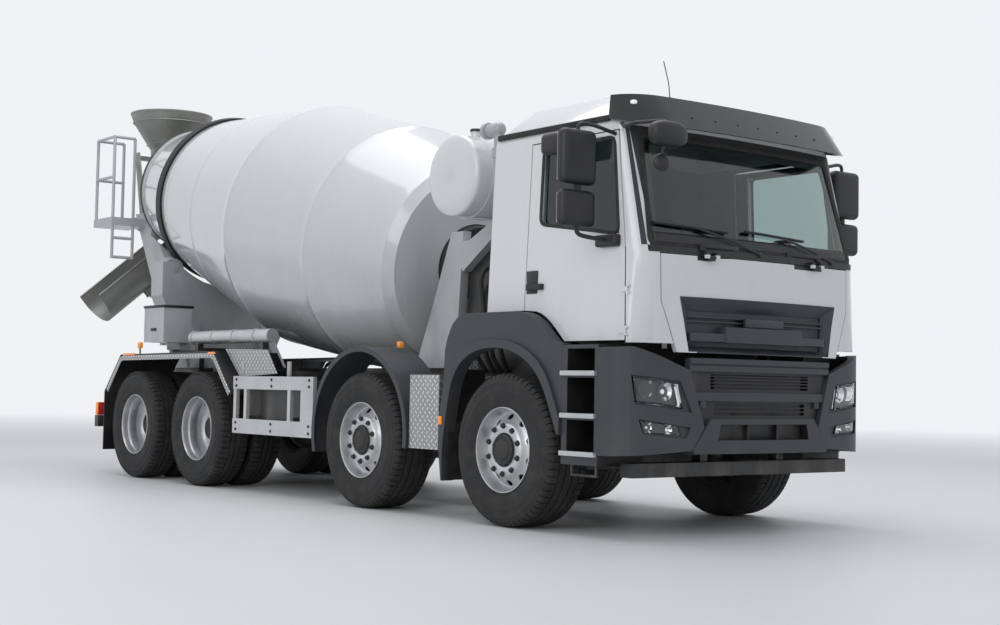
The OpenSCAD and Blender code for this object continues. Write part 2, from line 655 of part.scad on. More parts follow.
// Black cowl between the flap and the windscreen
module cowl_band(g) {
    w = side_y(cowl_z);
    intersection() {
        difference() {
            nose_slab(at(1000), at(cab_nose + 5) + g, w + 3 + g, 160, 125, cowl_z - 2 - g, screen_low - 0.6 + g);
            nose_slab(at(900), at(cab_nose - 30) - g, w - 30 - g, 150, 120, cowl_z - 50, screen_low + 50);
        }
        box(at(1000), at(1400), -1010 - g, 1010 + g, cowl_z - 10, screen_low + 10);
    }
}
module cab_shell() color(white) {
    difference() {
        cab_solid(0, 0, 0);
        cab_solid(cab_wall, -60, 60);
        // Under the sill only the tunnel and front remain
        box(at(-cab_back - 1), at(1118), -1200, 1200, 1100, sill_z);
        both() box(at(1100), at(1400), flap_half, 1200, 1100, sill_z - 15);
        plate_xz(concat([[at(-cab_back - 1), 1100], [at(518), 1100]], under_pts, [[at(-cab_back - 1), 1510]]), -1300, 1300);
        plate_xz(grow(door_pts, at(500), 2000, panel_gap), -1300, -900);
        plate_xz(grow(door_pts, at(500), 2000, panel_gap), 900, 1300);
        screen_prism(0);
        box(at(1100), at(1170), -800, 800, 1100, 1245);
        // Front opening that the flap covers, and the seat of the cowl
        flap_block(panel_gap);
        cowl_band(seat);
    }
    color(slate) cowl_band(0);
    // Floor with the engine tunnel
    difference() {
        union() {
            intersection() {
                cab_solid(cab_wall - 10, 60, 0);
                plate_xz([[at(-cab_back), 1505], [at(75), 1505], [at(560), sill_z], [at(1170), sill_z],
                    [at(1170), sill_z + 40], [at(570), sill_z + 40], [at(80), 1550], [at(-cab_back), 1550]], -1040, 1040);
            }
            box(at(-cab_back + 20), at(1100), -460, 460, 1290, 1660);
        }
        box(at(-cab_back - 1), at(1060), -430, 430, 1200, 1630);
    }
    box(at(1060), at(1160), -1000, 1000, sill_z + 20, cowl_z - 60);
    // Lugs that carry the flap's hinge pins
    both() for (y = [465, 560 + seat]) {
        translate([flap_axis_x, 0, flap_axis_z]) rod_y(9, y, y + 34.7);
        plate_xz([[at(1235), cowl_z + 2], [flap_axis_x - 9, cowl_z + 2], [flap_axis_x - 9, flap_axis_z],
            [flap_axis_x + 9, flap_axis_z], [flap_axis_x + 9, cowl_z + 15], [at(1235), cowl_z + 15]], y, y + 34.7);
    }
    both() shell_hinges();
    // Tilt arms down to the pivots
    both() difference() {
        union() {
            plate_xz([[tilt_x - 20, tilt_z - 40], [tilt_x + 30, tilt_z + 30], [tilt_x - 302, tilt_z + 284],
                [tilt_x - 162, sill_z + 30], [tilt_x - 262, sill_z + 30], [tilt_x - 400, tilt_z + 270]],
                rail_y + 20, rail_y + 60);
            translate([tilt_x, 0, tilt_z]) rod_y(45, rail_y + 20, rail_y + 60);
        }
        translate([tilt_x, 0, tilt_z]) rod_y(18 + pin_gap, rail_y + 10, rail_y + 70);
    }
}
// Door hinges: the axis runs just outside the skin, along its slope
door_axis_x = at(1116);
door_axis_y = cab_half_low + 6;
hinge_up = [60, 330];
hinge_r = 8;
hinge_pin_r = 4.5;
module on_door_hinges() {
    translate([door_axis_x, -door_axis_y, sill_z])
        rotate([-atan((cab_half_low - cab_half_top) / (rail_z - sill_z)), 0, 0])
            for (z = hinge_up) translate([0, 0, z]) children();
}
module shell_hinges() on_door_hinges() {
    cylinder(r = hinge_pin_r, h = 60, center = true, $fn = 24);
    for (z = [-30, 17]) translate([0, 0, z]) {
        cylinder(r = hinge_r, h = 13, $fn = 24);
        translate([0, -hinge_r, 0]) cube([24, hinge_r + 16, 13]);
    }
}
module door_hinges() on_door_hinges() difference() {
    union() {
        translate([0, 0, -16.7]) cylinder(r = hinge_r, h = 33.4, $fn = 24);
        translate([-60, -5, -16.7]) cube([60, 9, 33.4]);
        translate([-60, -5, -16.7]) cube([24, 18, 33.4]);
    }
    cylinder(r = hinge_pin_r + pin_gap, h = 80, center = true, $fn = 24);
}
module cab_roof() color(white) {
    difference() {
        hull() {
            cab_slice(2, 0, 0.2);
            cab_slice(2, 20, 60);
            translate([0, 0, roof_z - 5]) linear_extrude(5) polygon(nose_plan(at(-cab_back + 160), at(740), 820, 100, 80, 6));
        }
        hull() {
            cab_slice(2, 60, 0);
            translate([0, 0, roof_z - 70]) linear_extrude(5) polygon(nose_plan(at(-cab_back + 220), at(680), 760, 100, 80, 6));
        }
    }
}
module windscreen() color([0.3, 0.4, 0.38, 0.5]) {
    difference() {
        intersection() {
            cab_solid(6, 0, 0);
            screen_prism(0.3);
        }
        cab_solid(6 + glass_t, 10, 10);
    }
}
visor_low = 2690;
visor_high = 2925;
// Height of the visor's lower edge: it rises towards the doors
function visor_under(x) = visor_low + 4 + (1240 - x) * 0.195;
module visor_slice(z, x, y, rc, rd) {
    translate([0, 0, z]) linear_extrude(1) polygon(nose_plan(at(870), at(x), y, rc, rd, 10));
}
module sun_visor() color(slate) {
    // Blade over the windscreen: it leans forward and wraps around both corners
    difference() {
        hull() {
            visor_slice(visor_low, 1292, 1086, 300, 220);
            visor_slice(visor_high, 1118, 1064, 260, 190);
        }
        hull() {
            visor_slice(visor_low - 2, 1272, 1067, 290, 215);
            visor_slice(visor_high + 2, 1098, 1045, 250, 185);
        }
        box(at(860), at(876), -1200, 1200, visor_low - 10, visor_high + 10);
        plate_xz([[at(850), visor_low - 20], [at(1400), visor_low - 20], [at(1400), visor_low + 4], [at(1240), visor_under(1240)],
            [at(850), visor_under(850)]], -1200, 1200);
    }
    both() box(at(877), at(907), 1038.5, 1058, rail_z + 62, rail_z + 100);
}
module cab_interior() {
    color(black) for (y = [-725, 725]) {
        box(at(0), at(520), y - 250, y + 250, 1550 + seat, 1780);
        plate_xz([[at(-40), 1760], [at(90), 1760], [at(-60), 2460], [at(-180), 2460]], y - 240, y + 240);
    }
    color(slate) box(at(880), at(1059.7), -1000, 1000, 1661, 1900);
    color(black) translate([at(760), 690, 1880]) rotate([0, -65, 0]) {
        rotate_extrude($fn = 40) translate([210, 0]) circle(r = 16, $fn = 16);
        cylinder(r = 60, h = 20);
        for (a = [0, 120, 240]) rotate([0, 0, a]) translate([0, -15, 0]) cube([205, 30, 12]);
        translate([0, 0, -200]) cylinder(r = 30, h = 205);
    }
    color(black) box(at(-cab_back + 70), at(880), -440, 440, 1660.3, 1700);
}
module door_panel() {
    difference() {
        intersection() {
            difference() {
                cab_solid(0, 0, 0);
                cab_solid(50, 40, 40);
            }
            plate_xz(door_pts, -1300, -900);
        }
        plate_xz(win_pts, -1300, -900);
    }
    box(at(110), at(270), -side_y(1700) - 30, -side_y(1700) + 15, 1650, 1690);
    door_hinges();
}
module door_right() color(white) door_panel();
module door_left() color(white) mirror([0, 1, 0]) door_panel();
module door_glass() {
    intersection() {
        difference() {
            cab_solid(20, 0, 0);
            cab_solid(20 + glass_t, 40, 40);
        }
        plate_xz(grow(win_pts, at(500), 2300, -0.3), -1300, -900);
    }
}
module glass_right() color([0.2, 0.25, 0.25, 0.5]) door_glass();
module glass_left() color([0.2, 0.25, 0.25, 0.5]) mirror([0, 1, 0]) door_glass();
module door_mirror() {
    box(at(890), at(1060), -side_y(1930) - 60, -side_y(1895) - seat, 1895, 1950);
    bar([at(990), -side_y(1930) - 30, 1925], [at(880), -1340, 1990], 16);
    bar([at(880), -1340, 1980], [at(880), -1340, 2640], 14);
    round_box(at(830), at(900), -1500, -1205, 2300, 2660, 26);
    round_box(at(830), at(900), -1500, -1205, 2020, 2260, 26);
}
module front_mirror() color(slate) {
    box(at(985), at(1025), -1081, -1066, 2680, visor_under(1025) - seat);
    translate([0, 0, 2676]) linear_extrude(22) polygon([[at(985), -1066], [at(1025), -1066], [at(1205), -1136],
        [at(1420), -1062], [at(1430), -1086], [at(1205), -1162], [at(985), -1082]]);
    round_box(front_x - 130, front_x, -1230, -920, 2510, 2680, 40);
}
module mirror_right() color(slate) door_mirror();
module mirror_left() color(slate) mirror([0, 1, 0]) door_mirror();

// Front flap
flap_axis_x = at(1312);
flap_axis_z = 1852;
flap_low = 1215;
flap_half = 795;
// A plate whose outline is given for the left half, from below to above, and mirrored
module plate_half(half, x0, x1) {
    plate_yz(concat(half, [for (i = [len(half) - 1:-1:0]) [-half[i][0], half[i][1]]]), x0, x1);
}
module flap_block(g) {
    plate_half([[flap_half + g, flap_low - g], [flap_half + 50 + g, 1346], [925 + g, 1552], [930 + g, cowl_z - 12 + g]],
        at(1165), at(1500));
}
grille_back = 1190;
grille_low = 1226;
grille_high = 1585;
grille_half = 775;
module grille_outline(g) {
    plate_half([[grille_half - 73 + g, grille_low - g], [grille_half + g, grille_high + g]], at(1150), at(1500));
}
// A thin slice of the nose for the grille's sloping borders: half width, height, depth below the skin
module grille_slice(y, z, d) {
    translate([0, 0, z]) linear_extrude(1) polygon(nose_plan(at(grille_back), at(cab_nose + 18 - d), y, 20, 3));
}
// Grille: a frame that slopes inwards, a bar with a blank plate, and slats over a dark back
module grille() {
    intersection() {
        union() {
            hull() {
                grille_slice(grille_half + 20, grille_high + 14, -6);
                grille_slice(grille_half + 20, 1500, 62);
            }
            hull() {
                grille_slice(grille_half + 20, grille_low - 12, -4);
                grille_slice(grille_half + 20, 1262, 62);
            }
            both() hull() {
                for (q = [[grille_half - 110, grille_low, 62], [grille_half - 100, grille_high, 62],
                    [grille_half - 60, grille_low, 10], [grille_half + 10, grille_high, 0]])
                    translate([at(grille_back), q[0], q[1] - 5])
                        cube([nose(cab_nose + 18 - q[2], q[0], 900, 20, 3) - grille_back, 14, 10]);
            }
            nose_slab(at(grille_back), at(cab_nose - 54), grille_half, 40, 4, grille_low, grille_high);
            nose_slab(at(grille_back), at(cab_nose + 14), grille_half - 100, 60, 30, 1298, 1352);
            nose_slab(at(grille_back), at(cab_nose + 24), 382, 20, 6, 1294, 1398);
            for (z = [1425, 1455]) nose_slab(at(grille_back), at(cab_nose - 25), grille_half - 90, 40, 4, z, z + 9);
        }
        grille_outline(-seat);
    }
}
module front_flap() {
    color(white) difference() {
        intersection() {
            cab_solid(-2, 0, 0);
            flap_block(0);
        }
        cab_solid(34, 60, 60);
        grille_outline(0);
    }
    color(slate) grille();
    color(slate) both() {
        translate([flap_axis_x, 0, flap_axis_z]) rod_y(9, 500, 560);
        box(flap_axis_x - 58, flap_axis_x, 500, 560, flap_axis_z - 22, flap_axis_z - 8);
    }
}

// Drum
module drum_profile(inset) {
    n = len(drum_stations) - 1;
    polygon(concat([[0, drum_stations[0][0] + inset]],
        [for (p = drum_stations) [p[1] - inset, p[0] + (p[0] == drum_front_s ? inset : 0)]],
        [[drum_stations[n][1] - inset, drum_rear_s + (inset > 0 ? 10 : 0)], [0, drum_rear_s + (inset > 0 ? 10 : 0)]]));
}
module drum_shell() color(white) on_drum_axis() {
    difference() {
        rotate_extrude($fn = 96) drum_profile(0);
        rotate_extrude($fn = 96) drum_profile(drum_t);
    }
    difference() {
        translate([0, 0, drum_rear_s - 30]) cylinder(r = 690, h = 40, $fn = 96);
        translate([0, 0, drum_rear_s - 40]) cylinder(r = 652, h = 60, $fn = 96);
    }
    translate([0, 0, drum_front_s - 80]) cylinder(r = 350, h = 81);
}
module drum_track() color(black) on_drum_axis() difference() {
    translate([0, 0, track_s - track_w / 2]) cylinder(r = track_r, h = track_w, $fn = 96);
    rotate_extrude($fn = 96) drum_profile(0);
}
// Spiral blades: two starts, made of short plates that follow the drum's wall
function drum_rad(s) = lookup(s, drum_stations);
blade_turns = 2.2;
blade_n = 44;
module drum_blades() color(sheet) on_drum_axis() for (start = [0, 180]) blade(start);
module blade(start) {
    s0 = 2300;
    s1 = 7250;
    n = blade_n;
    function p(i, q) = let (s = s0 + (s1 - s0) * i / n, r = drum_rad(s) - drum_t - 2 - (q ? min(blade_h, drum_rad(s) - 380) : 0),
        a = start + 360 * blade_turns * i / n) [r * cos(a), r * sin(a), s];
    outer0 = [for (i = [0:n]) p(i, false)];
    inner0 = [for (i = [0:n]) p(i, true)];
    t = [0, 0, 6];
    pts = concat(outer0, inner0, [for (q = outer0) q + t], [for (q = inner0) q + t]);
    m = n + 1;
    faces = concat(
        [for (i = [0:n - 1]) each [[i, i + 1, m + i + 1], [i, m + i + 1, m + i]]],
        [for (i = [0:n - 1]) each [[2 * m + i, 3 * m + i + 1, 2 * m + i + 1], [2 * m + i, 3 * m + i, 3 * m + i + 1]]],
        [for (i = [0:n - 1]) each [[i, 2 * m + i + 1, i + 1], [i, 2 * m + i, 2 * m + i + 1]]],
        [for (i = [0:n - 1]) each [[m + i, m + i + 1, 3 * m + i + 1], [m + i, 3 * m + i + 1, 3 * m + i]]],
        [[0, m, 3 * m], [0, 3 * m, 2 * m], [n, 2 * m + n, 3 * m + n], [n, 3 * m + n, m + n]]);
    polyhedron(points = pts, faces = faces);
}

// Chute: swivel arm, trough and jack
chute_hinge_z = 2450;
module chute_arm() color(steel) {
    translate([chute_x, 0, chute_low_z - 90]) cylinder(r = 40, h = chute_high_z - chute_low_z + 160);
    translate([chute_x, 0, chute_low_z + 0.3]) cylinder(r = 70, h = chute_high_z - chute_low_z - 0.6);
    box(chute_x, jack_foot[0] + 44, jack_foot[1] - 45, jack_foot[1] + 45, chute_low_z + 10, chute_low_z + 50);
    for (m = [-1, 1]) box(jack_foot[0] + m * 38 - 6, jack_foot[0] + m * 38 + 6, jack_foot[1] - 40, jack_foot[1] + 40,
        chute_low_z + 49, jack_foot[2] + 35);
    // Pin of the jack's foot
    translate(jack_foot) rotate([0, 90, 0]) translate([0, 0, -44]) cylinder(r = 12, h = 88);
    // Head with the trough's hinge pins
    translate([chute_x, 0, chute_high_z + 60.3]) cylinder(r = 70, h = 40);
    box(chute_x - 330, chute_x + 330, -40, 40, chute_high_z + 61, chute_high_z + 100);
    for (m = [-1, 1]) box(chute_x + m * 320 - 10, chute_x + m * 320 + 10, -40, 40, chute_high_z + 99, chute_hinge_z + 30);
    for (m = [0, 1]) translate([chute_x, 0, chute_hinge_z]) mirror([m, 0, 0]) rotate([0, 90, 0])
        translate([0, 0, chute_w / 2 + 3]) cylinder(r = 15, h = 327 - chute_w / 2);
}
module trough_section(w, t) {
    difference() {
        union() {
            circle(r = w / 2);
            translate([-w / 2, 0]) square([w, 90]);
        }
        circle(r = w / 2 - t);
        translate([-w / 2 + t, 0]) square([w - 2 * t, 91]);
        translate([-w, 90]) square([2 * w, w]);
    }
}
module chute() color(sheet) translate([chute_x, 0, chute_hinge_z]) {
    rotate([chute_slope, 0, 0]) translate([0, 0, 90]) {
        rotate([90, 0, 0]) linear_extrude(chute_len) trough_section(chute_w, 6);
        for (m = [-1, 1]) translate([m * (chute_w / 2 + 6) - 6, -60, -120]) difference() {
            cube([12, 120, 180]);
            translate([-20, 60, 30]) rotate([0, 90, 0]) cylinder(r = 15.3, h = 60);
        }
        for (m = [-1, 1]) translate([jack_side + m * 35 - 6, -jack_reach - 45, -325]) cube([12, 90, 325 - sqrt(pow(chute_w / 2 - 3, 2) - pow(jack_side + m * 35, 2))]);
    }
}
// Jack: it stands beside the post. The tube's foot turns on the arm, and the rod's eye stands
// below the trough, at jack_reach down its length and jack_drop below its hinge.
jack_side = 110;
jack_reach = 480;
jack_drop = 205;
jack_foot = [chute_x + jack_side, 60, chute_low_z + 100];
jack_eye = [chute_x + jack_side, -jack_reach * cos(chute_slope) + jack_drop * sin(chute_slope),
    chute_hinge_z - jack_reach * sin(chute_slope) - jack_drop * cos(chute_slope)];
function between(a, b, d) = a + (b - a) * d / norm(b - a);
module jack_tube() color(black) {
    difference() {
        union() {
            bar(jack_foot, between(jack_foot, jack_eye, 395), 26);
            translate(jack_foot) rotate([0, 90, 0]) translate([0, 0, -31.7]) cylinder(r = 32, h = 63.4);
        }
        translate(jack_foot) rotate([0, 90, 0]) translate([0, 0, -40]) cylinder(r = 12.3, h = 80);
        bar(between(jack_foot, jack_eye, 40), between(jack_foot, jack_eye, 400), 18.3);
    }
}
module jack_rod() color(steel) {
    bar(between(jack_foot, jack_eye, norm(jack_eye - jack_foot) - 380), jack_eye, 18);
    translate(jack_eye) rotate([0, 90, 0]) translate([0, 0, -20]) cylinder(r = 26, h = 40);
}

// Wheels: the axis runs along Y, outside towards +Y, with the outer rim face at y = 0
module tyre(w) {
    color(black) rotate([-90, 0, 0]) rotate_extrude($fn = 48)
        polygon([[rim_r - 16, -w / 2 + 30], [rim_r + 20, -w / 2 + 12], [tyre_r - 110, -w / 2], [tyre_r - 36, -w / 2 + 16],
            [tyre_r, -w / 2 + 46], [tyre_r, w / 2 - 46], [tyre_r - 36, w / 2 - 16], [tyre_r - 110, w / 2],
            [rim_r + 20, w / 2 - 12], [rim_r - 16, w / 2 - 30]]);
}
module steer_rim(w) {
    color(silver) rotate([-90, 0, 0]) difference() {
        rotate_extrude($fn = 48) polygon([[0, 60], [110, 60], [110, 95], [150, 95], [170, 80], [235, 40], [255, 60],
            [285, w / 2 - 15], [rim_r, w / 2 - 12], [rim_r, w / 2 - 30], [rim_r - 15.5, w / 2 - 30],
            [rim_r - 15.5, -w / 2 + 30], [rim_r - 30, -w / 2 + 30], [rim_r - 30, 20], [235, 20], [170, 60], [0, 40]]);
        for (a = [0:36:359]) rotate([0, 0, a]) translate([208, 0, -50]) cylinder(r = 22, h = 200);
    }
}
module wheel_steered(x, side) translate([x, 0, hub_z]) mirror([0, side, 0])
    translate([0, track_over / 2 - tyre_w_front / 2, 0]) {
        tyre(tyre_w_front);
        steer_rim(tyre_w_front);
    }
module wheel_twin(x, side) translate([x, 0, hub_z]) mirror([0, side, 0])
    translate([0, track_over / 2 - tyre_w_twin / 2, 0]) {
        tyre(tyre_w_twin);
        translate([0, -twin_pitch, 0]) tyre(tyre_w_twin);
        color(silver) rotate([-90, 0, 0]) difference() {
            rotate_extrude($fn = 48) polygon([[0, -60], [135, -60], [135, -100], [170, -110], [240, -100],
                [rim_r - 40, -60], [rim_r - 28, tyre_w_twin / 2 - 20], [rim_r, tyre_w_twin / 2 - 14],
                [rim_r, tyre_w_twin / 2 - 32], [rim_r - 15.5, tyre_w_twin / 2 - 34], [rim_r - 15.5, -tyre_w_twin / 2 + 30],
                [rim_r - 15.5, -twin_pitch - tyre_w_twin / 2 + 30], [rim_r - 30, -twin_pitch - tyre_w_twin / 2 + 30],
                [rim_r - 30, -160], [170, -190], [130, -190], [130, -hub_depth], [0, -hub_depth]]);
            for (a = [0:36:359]) rotate([0, 0, a]) translate([208, 0, -250]) cylinder(r = 22, h = 200);
        }
        color(black) translate([0, -40, 0]) rotate([-90, 0, 0]) translate([0, 0, -21]) cylinder(r = 110, h = 60);
    }
module wheel_1_right() wheel_steered(x1, 1);
module wheel_1_left() wheel_steered(x1, 0);
module wheel_2_right() wheel_steered(x2, 1);
module wheel_2_left() wheel_steered(x2, 0);
module wheel_3_right() wheel_twin(x3, 1);
module wheel_3_left() wheel_twin(x3, 0);
module wheel_4_right() wheel_twin(x4, 1);
module wheel_4_left() wheel_twin(x4, 0);
// Knuckle: fork around the beam's eye with the stub that carries the wheel
module knuckle(x, side) color(black) translate([x, 0, hub_z]) mirror([0, side, 0]) translate([0, kingpin_y, 0]) {
    for (z = [75.3, -115.3]) translate([0, 0, z]) cylinder(r = 52, h = 40);
    translate([-60, 52, -115.3]) cube([120, 30, 230.6]);
    for (z = [75.3, -115.3]) translate([-50, 0, z]) cube([100, 60, 40]);
    rod_y(60, 81, track_over / 2 - tyre_w_front / 2 - kingpin_y + 39.7);
}
module knuckle_1_right() knuckle(x1, 1);
module knuckle_1_left() knuckle(x1, 0);
module knuckle_2_right() knuckle(x2, 1);
module knuckle_2_left() knuckle(x2, 0);

chassis_frame();
mixer_frame();
steer_axle_beams();
drive_axles();
leaf_springs();
engine();
prop_shafts();
side_boxes();
side_guards();
fender_axle_2();
rear_mudguards();
bumper();
underrun_bar();
lamps();
steps();
wheel_arches();
air_intake();
rear_pedestal();
front_pedestal();
drum_drive();
water_tank();
feed_hopper();
collector();
platform();
control_box();
cab_shell();
cab_roof();
windscreen();
sun_visor();
front_mirror();
cab_interior();
door_right();
glass_right();
mirror_right();
door_left();
glass_left();
mirror_left();
front_flap();
drum_shell();
drum_blades();
drum_track();
roller_right();
roller_left();
chute_arm();
chute();
jack_tube();
jack_rod();
knuckle_1_right();
knuckle_1_left();
knuckle_2_right();
knuckle_2_left();
wheel_1_right();
wheel_1_left();
wheel_2_right();
wheel_2_left();
wheel_3_right();
wheel_3_left();
wheel_4_right();
wheel_4_left();
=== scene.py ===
import json
import math

import bmesh
import bpy
import numpy as np
from mathutils import Matrix, Vector

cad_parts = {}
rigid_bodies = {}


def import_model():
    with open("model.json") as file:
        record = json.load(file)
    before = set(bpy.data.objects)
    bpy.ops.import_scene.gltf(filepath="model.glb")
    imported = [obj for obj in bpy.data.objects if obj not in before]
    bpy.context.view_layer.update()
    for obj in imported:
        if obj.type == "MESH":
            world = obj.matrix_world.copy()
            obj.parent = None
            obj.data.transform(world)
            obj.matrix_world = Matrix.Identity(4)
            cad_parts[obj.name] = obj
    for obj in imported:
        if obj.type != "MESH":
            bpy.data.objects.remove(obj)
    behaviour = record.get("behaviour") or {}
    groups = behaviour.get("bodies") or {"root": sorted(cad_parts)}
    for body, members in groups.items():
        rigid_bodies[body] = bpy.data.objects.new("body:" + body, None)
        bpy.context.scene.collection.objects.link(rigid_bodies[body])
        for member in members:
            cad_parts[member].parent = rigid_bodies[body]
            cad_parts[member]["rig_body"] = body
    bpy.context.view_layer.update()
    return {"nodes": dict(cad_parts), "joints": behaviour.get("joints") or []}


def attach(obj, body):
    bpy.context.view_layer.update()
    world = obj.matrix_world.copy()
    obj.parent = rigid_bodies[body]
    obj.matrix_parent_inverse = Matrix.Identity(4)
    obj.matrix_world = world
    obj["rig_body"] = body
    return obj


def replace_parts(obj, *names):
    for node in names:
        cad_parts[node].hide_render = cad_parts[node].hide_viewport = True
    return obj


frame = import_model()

print("frame loaded:", len(frame["nodes"]), "nodes")

# Metres throughout: X forward from the first axle, Y to the truck's left, Z up from the ground
joints = {joint["name"]: joint for joint in frame["joints"]}
firstAxle = joints["steer_1_right"]["pos_m"][0]
meshing = {"merge": 2e-5, "sliver": 1e-6, "flatAngle": 0.3}


def fa(x):
    # The frame's X of a place forward from the first axle
    return firstAxle + x


# Camera, lamps and floor
view = {"place": (8.1858, -7.7272, 0.9684), "yaw": 51.755, "pitch": 2.875, "roll": 1.035,
        "focalPixels": 1496.41, "photoWidth": 1000, "sensor": 36.0, "reach": 300.0}
studio = {"floorColour": (0.80, 0.80, 0.79), "floorHalf": 90.0, "fadeMiddle": -0.5, "fadeFrom": 11.0,
          "fadeTo": 30.0, "backdrop": (0.87, 0.885, 0.91, 1), "skyTop": (0.80, 0.85, 0.93, 1),
          "skyLow": (0.62, 0.64, 0.67, 1), "ground": (0.22, 0.215, 0.21, 1), "skyStrength": 0.62,
          "groundEnd": 0.49, "skyStart": 0.52, "skyTopFrom": 0.80}
lamps = {"overhead": {"spot": (-3, 0, 11), "aim": (-3, 0, 0), "power": 520.0, "size": 9.0},
         "side": {"spot": (5, -13, 7), "aim": (-2, 0, 1.5), "power": 420.0, "size": 8.0}}


class Wire:
    # The value of a socket. Arithmetic on it adds Math nodes to its bench.
    def __init__(self, bench, socket):
        self.bench = bench
        self.socket = socket

    def __add__(self, other):
        return self.bench.maths("ADD", self, other)

    def __sub__(self, other):
        return self.bench.maths("SUBTRACT", self, other)

    def __rsub__(self, other):
        return self.bench.maths("SUBTRACT", other, self)

    def __mul__(self, other):
        return self.bench.maths("MULTIPLY", self, other)

    def __truediv__(self, other):
        return self.bench.maths("DIVIDE", self, other)

    def __pow__(self, other):
        return self.bench.maths("POWER", self, other)

    def __abs__(self):
        return self.bench.maths("ABSOLUTE", self)


class Bench:
    # The nodes of one material or world
    def __init__(self, tree):
        self.tree = tree
        tree.nodes.clear()

    def add(self, kind, settings=None, inputs=None, out=0):
        node = self.tree.nodes.new(kind)
        for name, value in (settings or {}).items():
            if name == "stops":
                self.setStops(node.color_ramp.elements, value)
            else:
                setattr(node, name, value)
        for name, value in (inputs or {}).items():
            if isinstance(value, Wire):
                self.tree.links.new(value.socket, node.inputs[name])
            else:
                node.inputs[name].default_value = value
        return Wire(self, node.outputs[out]) if len(node.outputs) else None

    def setStops(self, elements, stops):
        while len(elements) < len(stops):
            elements.new(0.5)
        for element, (position, colour) in zip(elements, stops):
            element.position = position
            element.color = colour

    def maths(self, operation, *values):
        return self.add("ShaderNodeMath", {"operation": operation}, dict(enumerate(values)))

    def blend(self, factor, first, second):
        return self.add("ShaderNodeMix", {"data_type": "RGBA"}, {0: factor, 6: first, 7: second}, 2)

    def stretched(self, scale):
        spot = self.add("ShaderNodeTexCoord", out=3)
        return self.add("ShaderNodeMapping", {}, {"Vector": spot, "Scale": scale})

    def axes(self):
        # Object coordinates x, y and z
        spot = self.add("ShaderNodeTexCoord", out=3)
        split = self.add("ShaderNodeSeparateXYZ", {}, {0: spot})
        outputs = split.socket.node.outputs
        return [Wire(self, outputs[k]) for k in range(3)]

    def noise(self, scale, detail=3.0, stretch=(1, 1, 1)):
        inputs = {"Vector": self.stretched(stretch), "Scale": scale, "Detail": detail}
        return self.add("ShaderNodeTexNoise", {}, inputs)

    def step(self, value, low, high):
        # 0 below low, 1 above high, and a straight ramp between
        return self.add("ShaderNodeMapRange", {}, {"Value": value, "From Min": low, "From Max": high})

    def bump(self, height, distance, strength=1.0):
        return self.add("ShaderNodeBump", {}, {"Height": height, "Distance": distance, "Strength": strength})


def makeMaterial(name, recipe):
    material = bpy.data.materials.new(name)
    material.use_nodes = True
    bench = Bench(material.node_tree)
    surface = bench.add("ShaderNodeBsdfPrincipled", {}, recipe(bench))
    bench.add("ShaderNodeOutputMaterial", {}, {"Surface": surface})
    return material


def opaque(colour):
    return (*colour, 1.0)


def paint(colour, roughness=0.2, coat=0.7, grime=0.25, peel=0.00012):
    # Sprayed paint under clear coat: cloudy variation, road grime towards the wheels, orange peel
    def recipe(bench):
        z = bench.axes()[2]
        cloud = bench.noise(0.9, 4)
        film = bench.noise(6.0, 6, (1, 1, 0.35))
        low = 1 - bench.step(z, 0.5, 2.1)
        dirt = bench.step(film, 0.42, 0.75) * (low * 0.9 + 0.12) * grime
        faded = opaque([c * 0.965 for c in colour])
        tone = bench.blend(bench.step(cloud, 0.3, 0.7), faded, opaque(colour))
        return {"Base Color": bench.blend(dirt, tone, (0.23, 0.21, 0.18, 1)),
                "Roughness": bench.step(film, 0.2, 0.9) * 0.10 + dirt * 0.5 + roughness,
                "Coat Weight": coat, "Coat Roughness": 0.06,
                "Normal": bench.bump(bench.noise(160.0, 1), peel)}
    return recipe


def plastic(colour, roughness=0.45, grain=0.0002, scale=700.0, dust=0.3):
    # Moulded plastic: fine grain, with pale dust lying in patches
    def recipe(bench):
        z = bench.axes()[2]
        patch = bench.noise(4.0, 6)
        low = 1 - bench.step(z, 0.3, 1.6)
        dirt = bench.step(patch, 0.4, 0.8) * (low * 0.8 + 0.2) * dust
        return {"Base Color": bench.blend(dirt, opaque(colour), (0.16, 0.15, 0.135, 1)),
                "Roughness": bench.step(patch, 0.2, 0.9) * 0.12 + dirt * 0.3 + roughness,
                "Normal": bench.bump(bench.noise(scale, 2), grain)}
    return recipe


def bareMetal(colour, roughness, metallic, streak=(1, 1, 0.15), stain=(0.20, 0.185, 0.16), stains=0.5):
    # Rolled or cast metal: stretched streaks, with dull stains where cement and water dried
    def recipe(bench):
        lines = bench.noise(45.0, 4, streak)
        blot = bench.noise(3.2, 7)
        mask = bench.step(blot, 0.47, 0.72) * stains
        bare = bench.blend(lines, opaque([c * 0.82 for c in colour]), opaque(colour))
        return {"Base Color": bench.blend(mask, bare, opaque(stain)),
                "Roughness": lines * 0.16 + mask * 0.35 + roughness,
                "Metallic": metallic - mask * 0.6,
                "Normal": bench.bump(lines, 0.0004)}
    return recipe


def rubber(colour, roughness=0.72):
    # Rubber: mottled, with dust in the paler patches
    def recipe(bench):
        mottled = bench.noise(9.0, 7)
        fine = bench.noise(420.0, 2)
        dusty = bench.step(mottled, 0.45, 0.8) * 0.5
        return {"Base Color": bench.blend(dusty, opaque(colour), (0.075, 0.07, 0.063, 1)),
                "Roughness": mottled * 0.15 + roughness,
                "Normal": bench.bump(fine, 0.0003)}
    return recipe


